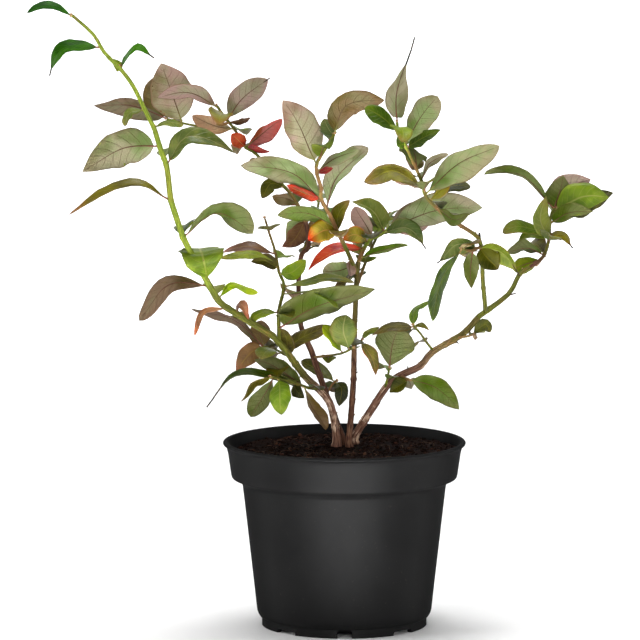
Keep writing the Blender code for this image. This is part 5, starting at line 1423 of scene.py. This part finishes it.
def buildPeat(rim, material):
    rings, steps = soil["rings"], soil["steps"]
    corners = [(0.0, 0.0, soilHeight(0, 0))]
    for r in range(1, rings + 1):
        for k in range(steps):
            x, y = onCircle(rim * r / rings, fullTurn * (k + 0.5 * (r % 2)) / steps)
            corners.append((x, y, soilHeight(x, y)))
    # a plain side and floor below the surface
    below = [(z, potWall(z) - pot["wall"] - 0.1) for z in (pot["collarFootZ"], pot["bodyTopZ"], pot["bodyFootZ"])]
    floorZ = pot["floorRise"] + 3.2
    below.append((floorZ, potWall(floorZ) - pot["wall"] - 1.6))
    for z, radius in below:
        corners += [(*onCircle(radius, fullTurn * (k + 0.5 * (rings % 2)) / steps), z) for k in range(steps)]
    faces = [[0, 1 + k, 1 + (k + 1) % steps] for k in range(steps)]
    faces += ringQuads(rings + len(below) - 1, steps, True, 1)
    faces.append(list(range(len(corners) - steps, len(corners)))[::-1])
    piece = Piece("peat")
    piece.put(corners, faces, 0, plainCharts(faces))
    piece.make([material], "soil", ["soil"])


def buildCrumbs(rim, materials):
    # chips and crumbs from one faceted ball, then fibres, all loose on the peat
    draw = random.Random(41)
    bits = Piece("peat_crumbs")
    work = bmesh.new()
    bmesh.ops.create_icosphere(work, subdivisions=1, radius=1.0)
    ball = [v.co.copy() for v in work.verts]
    ballFaces = [[v.index for v in f.verts] for f in work.faces]
    work.free()
    feet = [limb["at"][0] for limb in stems.values()]
    for i in range(soil["crumbs"]):
        chipped = i < soil["chips"]
        size = draw.uniform(1.2, 2.6) if chipped else 0.35 + 1.25 * draw.random() ** 2.2
        radius = math.sqrt(draw.random()) * (rim - size * 1.2)
        x, y = onCircle(radius, draw.uniform(0, fullTurn))
        if any(math.hypot(x - foot[0], y - foot[1]) < soil["clear"] + size for foot in feet):
            continue
        z = soilHeight(x, y) + size * 0.25
        flatness = (0.3, 0.8) if chipped else (0.55, 0.95)
        squash = Vector((draw.uniform(0.6, 1.5), draw.uniform(0.6, 1.3), draw.uniform(*flatness)))
        spin, lean = draw.uniform(0, 6.28), draw.uniform(-0.5, 0.5)
        lot = (draw.random(), draw.random())
        shape = []
        for corner in ball:
            p = corner * squash * size * draw.uniform(0.72, 1.15)
            p.z += p.x * lean
            shape.append((x + p.x * math.cos(spin) - p.y * math.sin(spin),
                          y + p.x * math.sin(spin) + p.y * math.cos(spin), z + p.z))
        bits.put(shape, ballFaces, 1 if chipped else 0, plainCharts(ballFaces, lot))
    for i in range(soil["fibres"]):
        radius = math.sqrt(draw.random()) * (rim - 8)
        angle, heading = draw.uniform(0, fullTurn), draw.uniform(0, fullTurn)
        x, y = onCircle(radius, angle)
        length, thin = draw.uniform(4, 15), draw.uniform(0.09, 0.22)
        points = []
        for k in range(7):
            heading += draw.uniform(-0.5, 0.5)
            if math.hypot(x, y) > rim - 3:
                break
            points.append(Vector((x, y, soilHeight(x, y) + 0.7 + 0.9 * math.sin(k * 0.9 + i))))
            x += math.cos(heading) * length / 6
            y += math.sin(heading) * length / 6
        if len(points) > 2:
            shape, faces = tubeShape(points, (thin, thin * 0.6), 3)
            bits.put(shape, faces, 2, plainCharts(faces, (draw.random(), draw.random())))
    bits.make(materials, "soil", [])


def buildSoil():
    materials = [soilMaterial(name, *tones) for name, tones in soil["tones"].items()]
    rim = potWall(soil["edge"]) - pot["wall"] + 0.1
    buildPeat(rim, materials[0])
    buildCrumbs(rim, materials)
    print("soil done")


buildCamera()
buildFloor()
buildLamps()
print("studio done")
buildPot()
buildSoil()
limbs, grown = growBush()
print("bush grown")
buildWood(limbs, grown)
buildLeaves(grown)
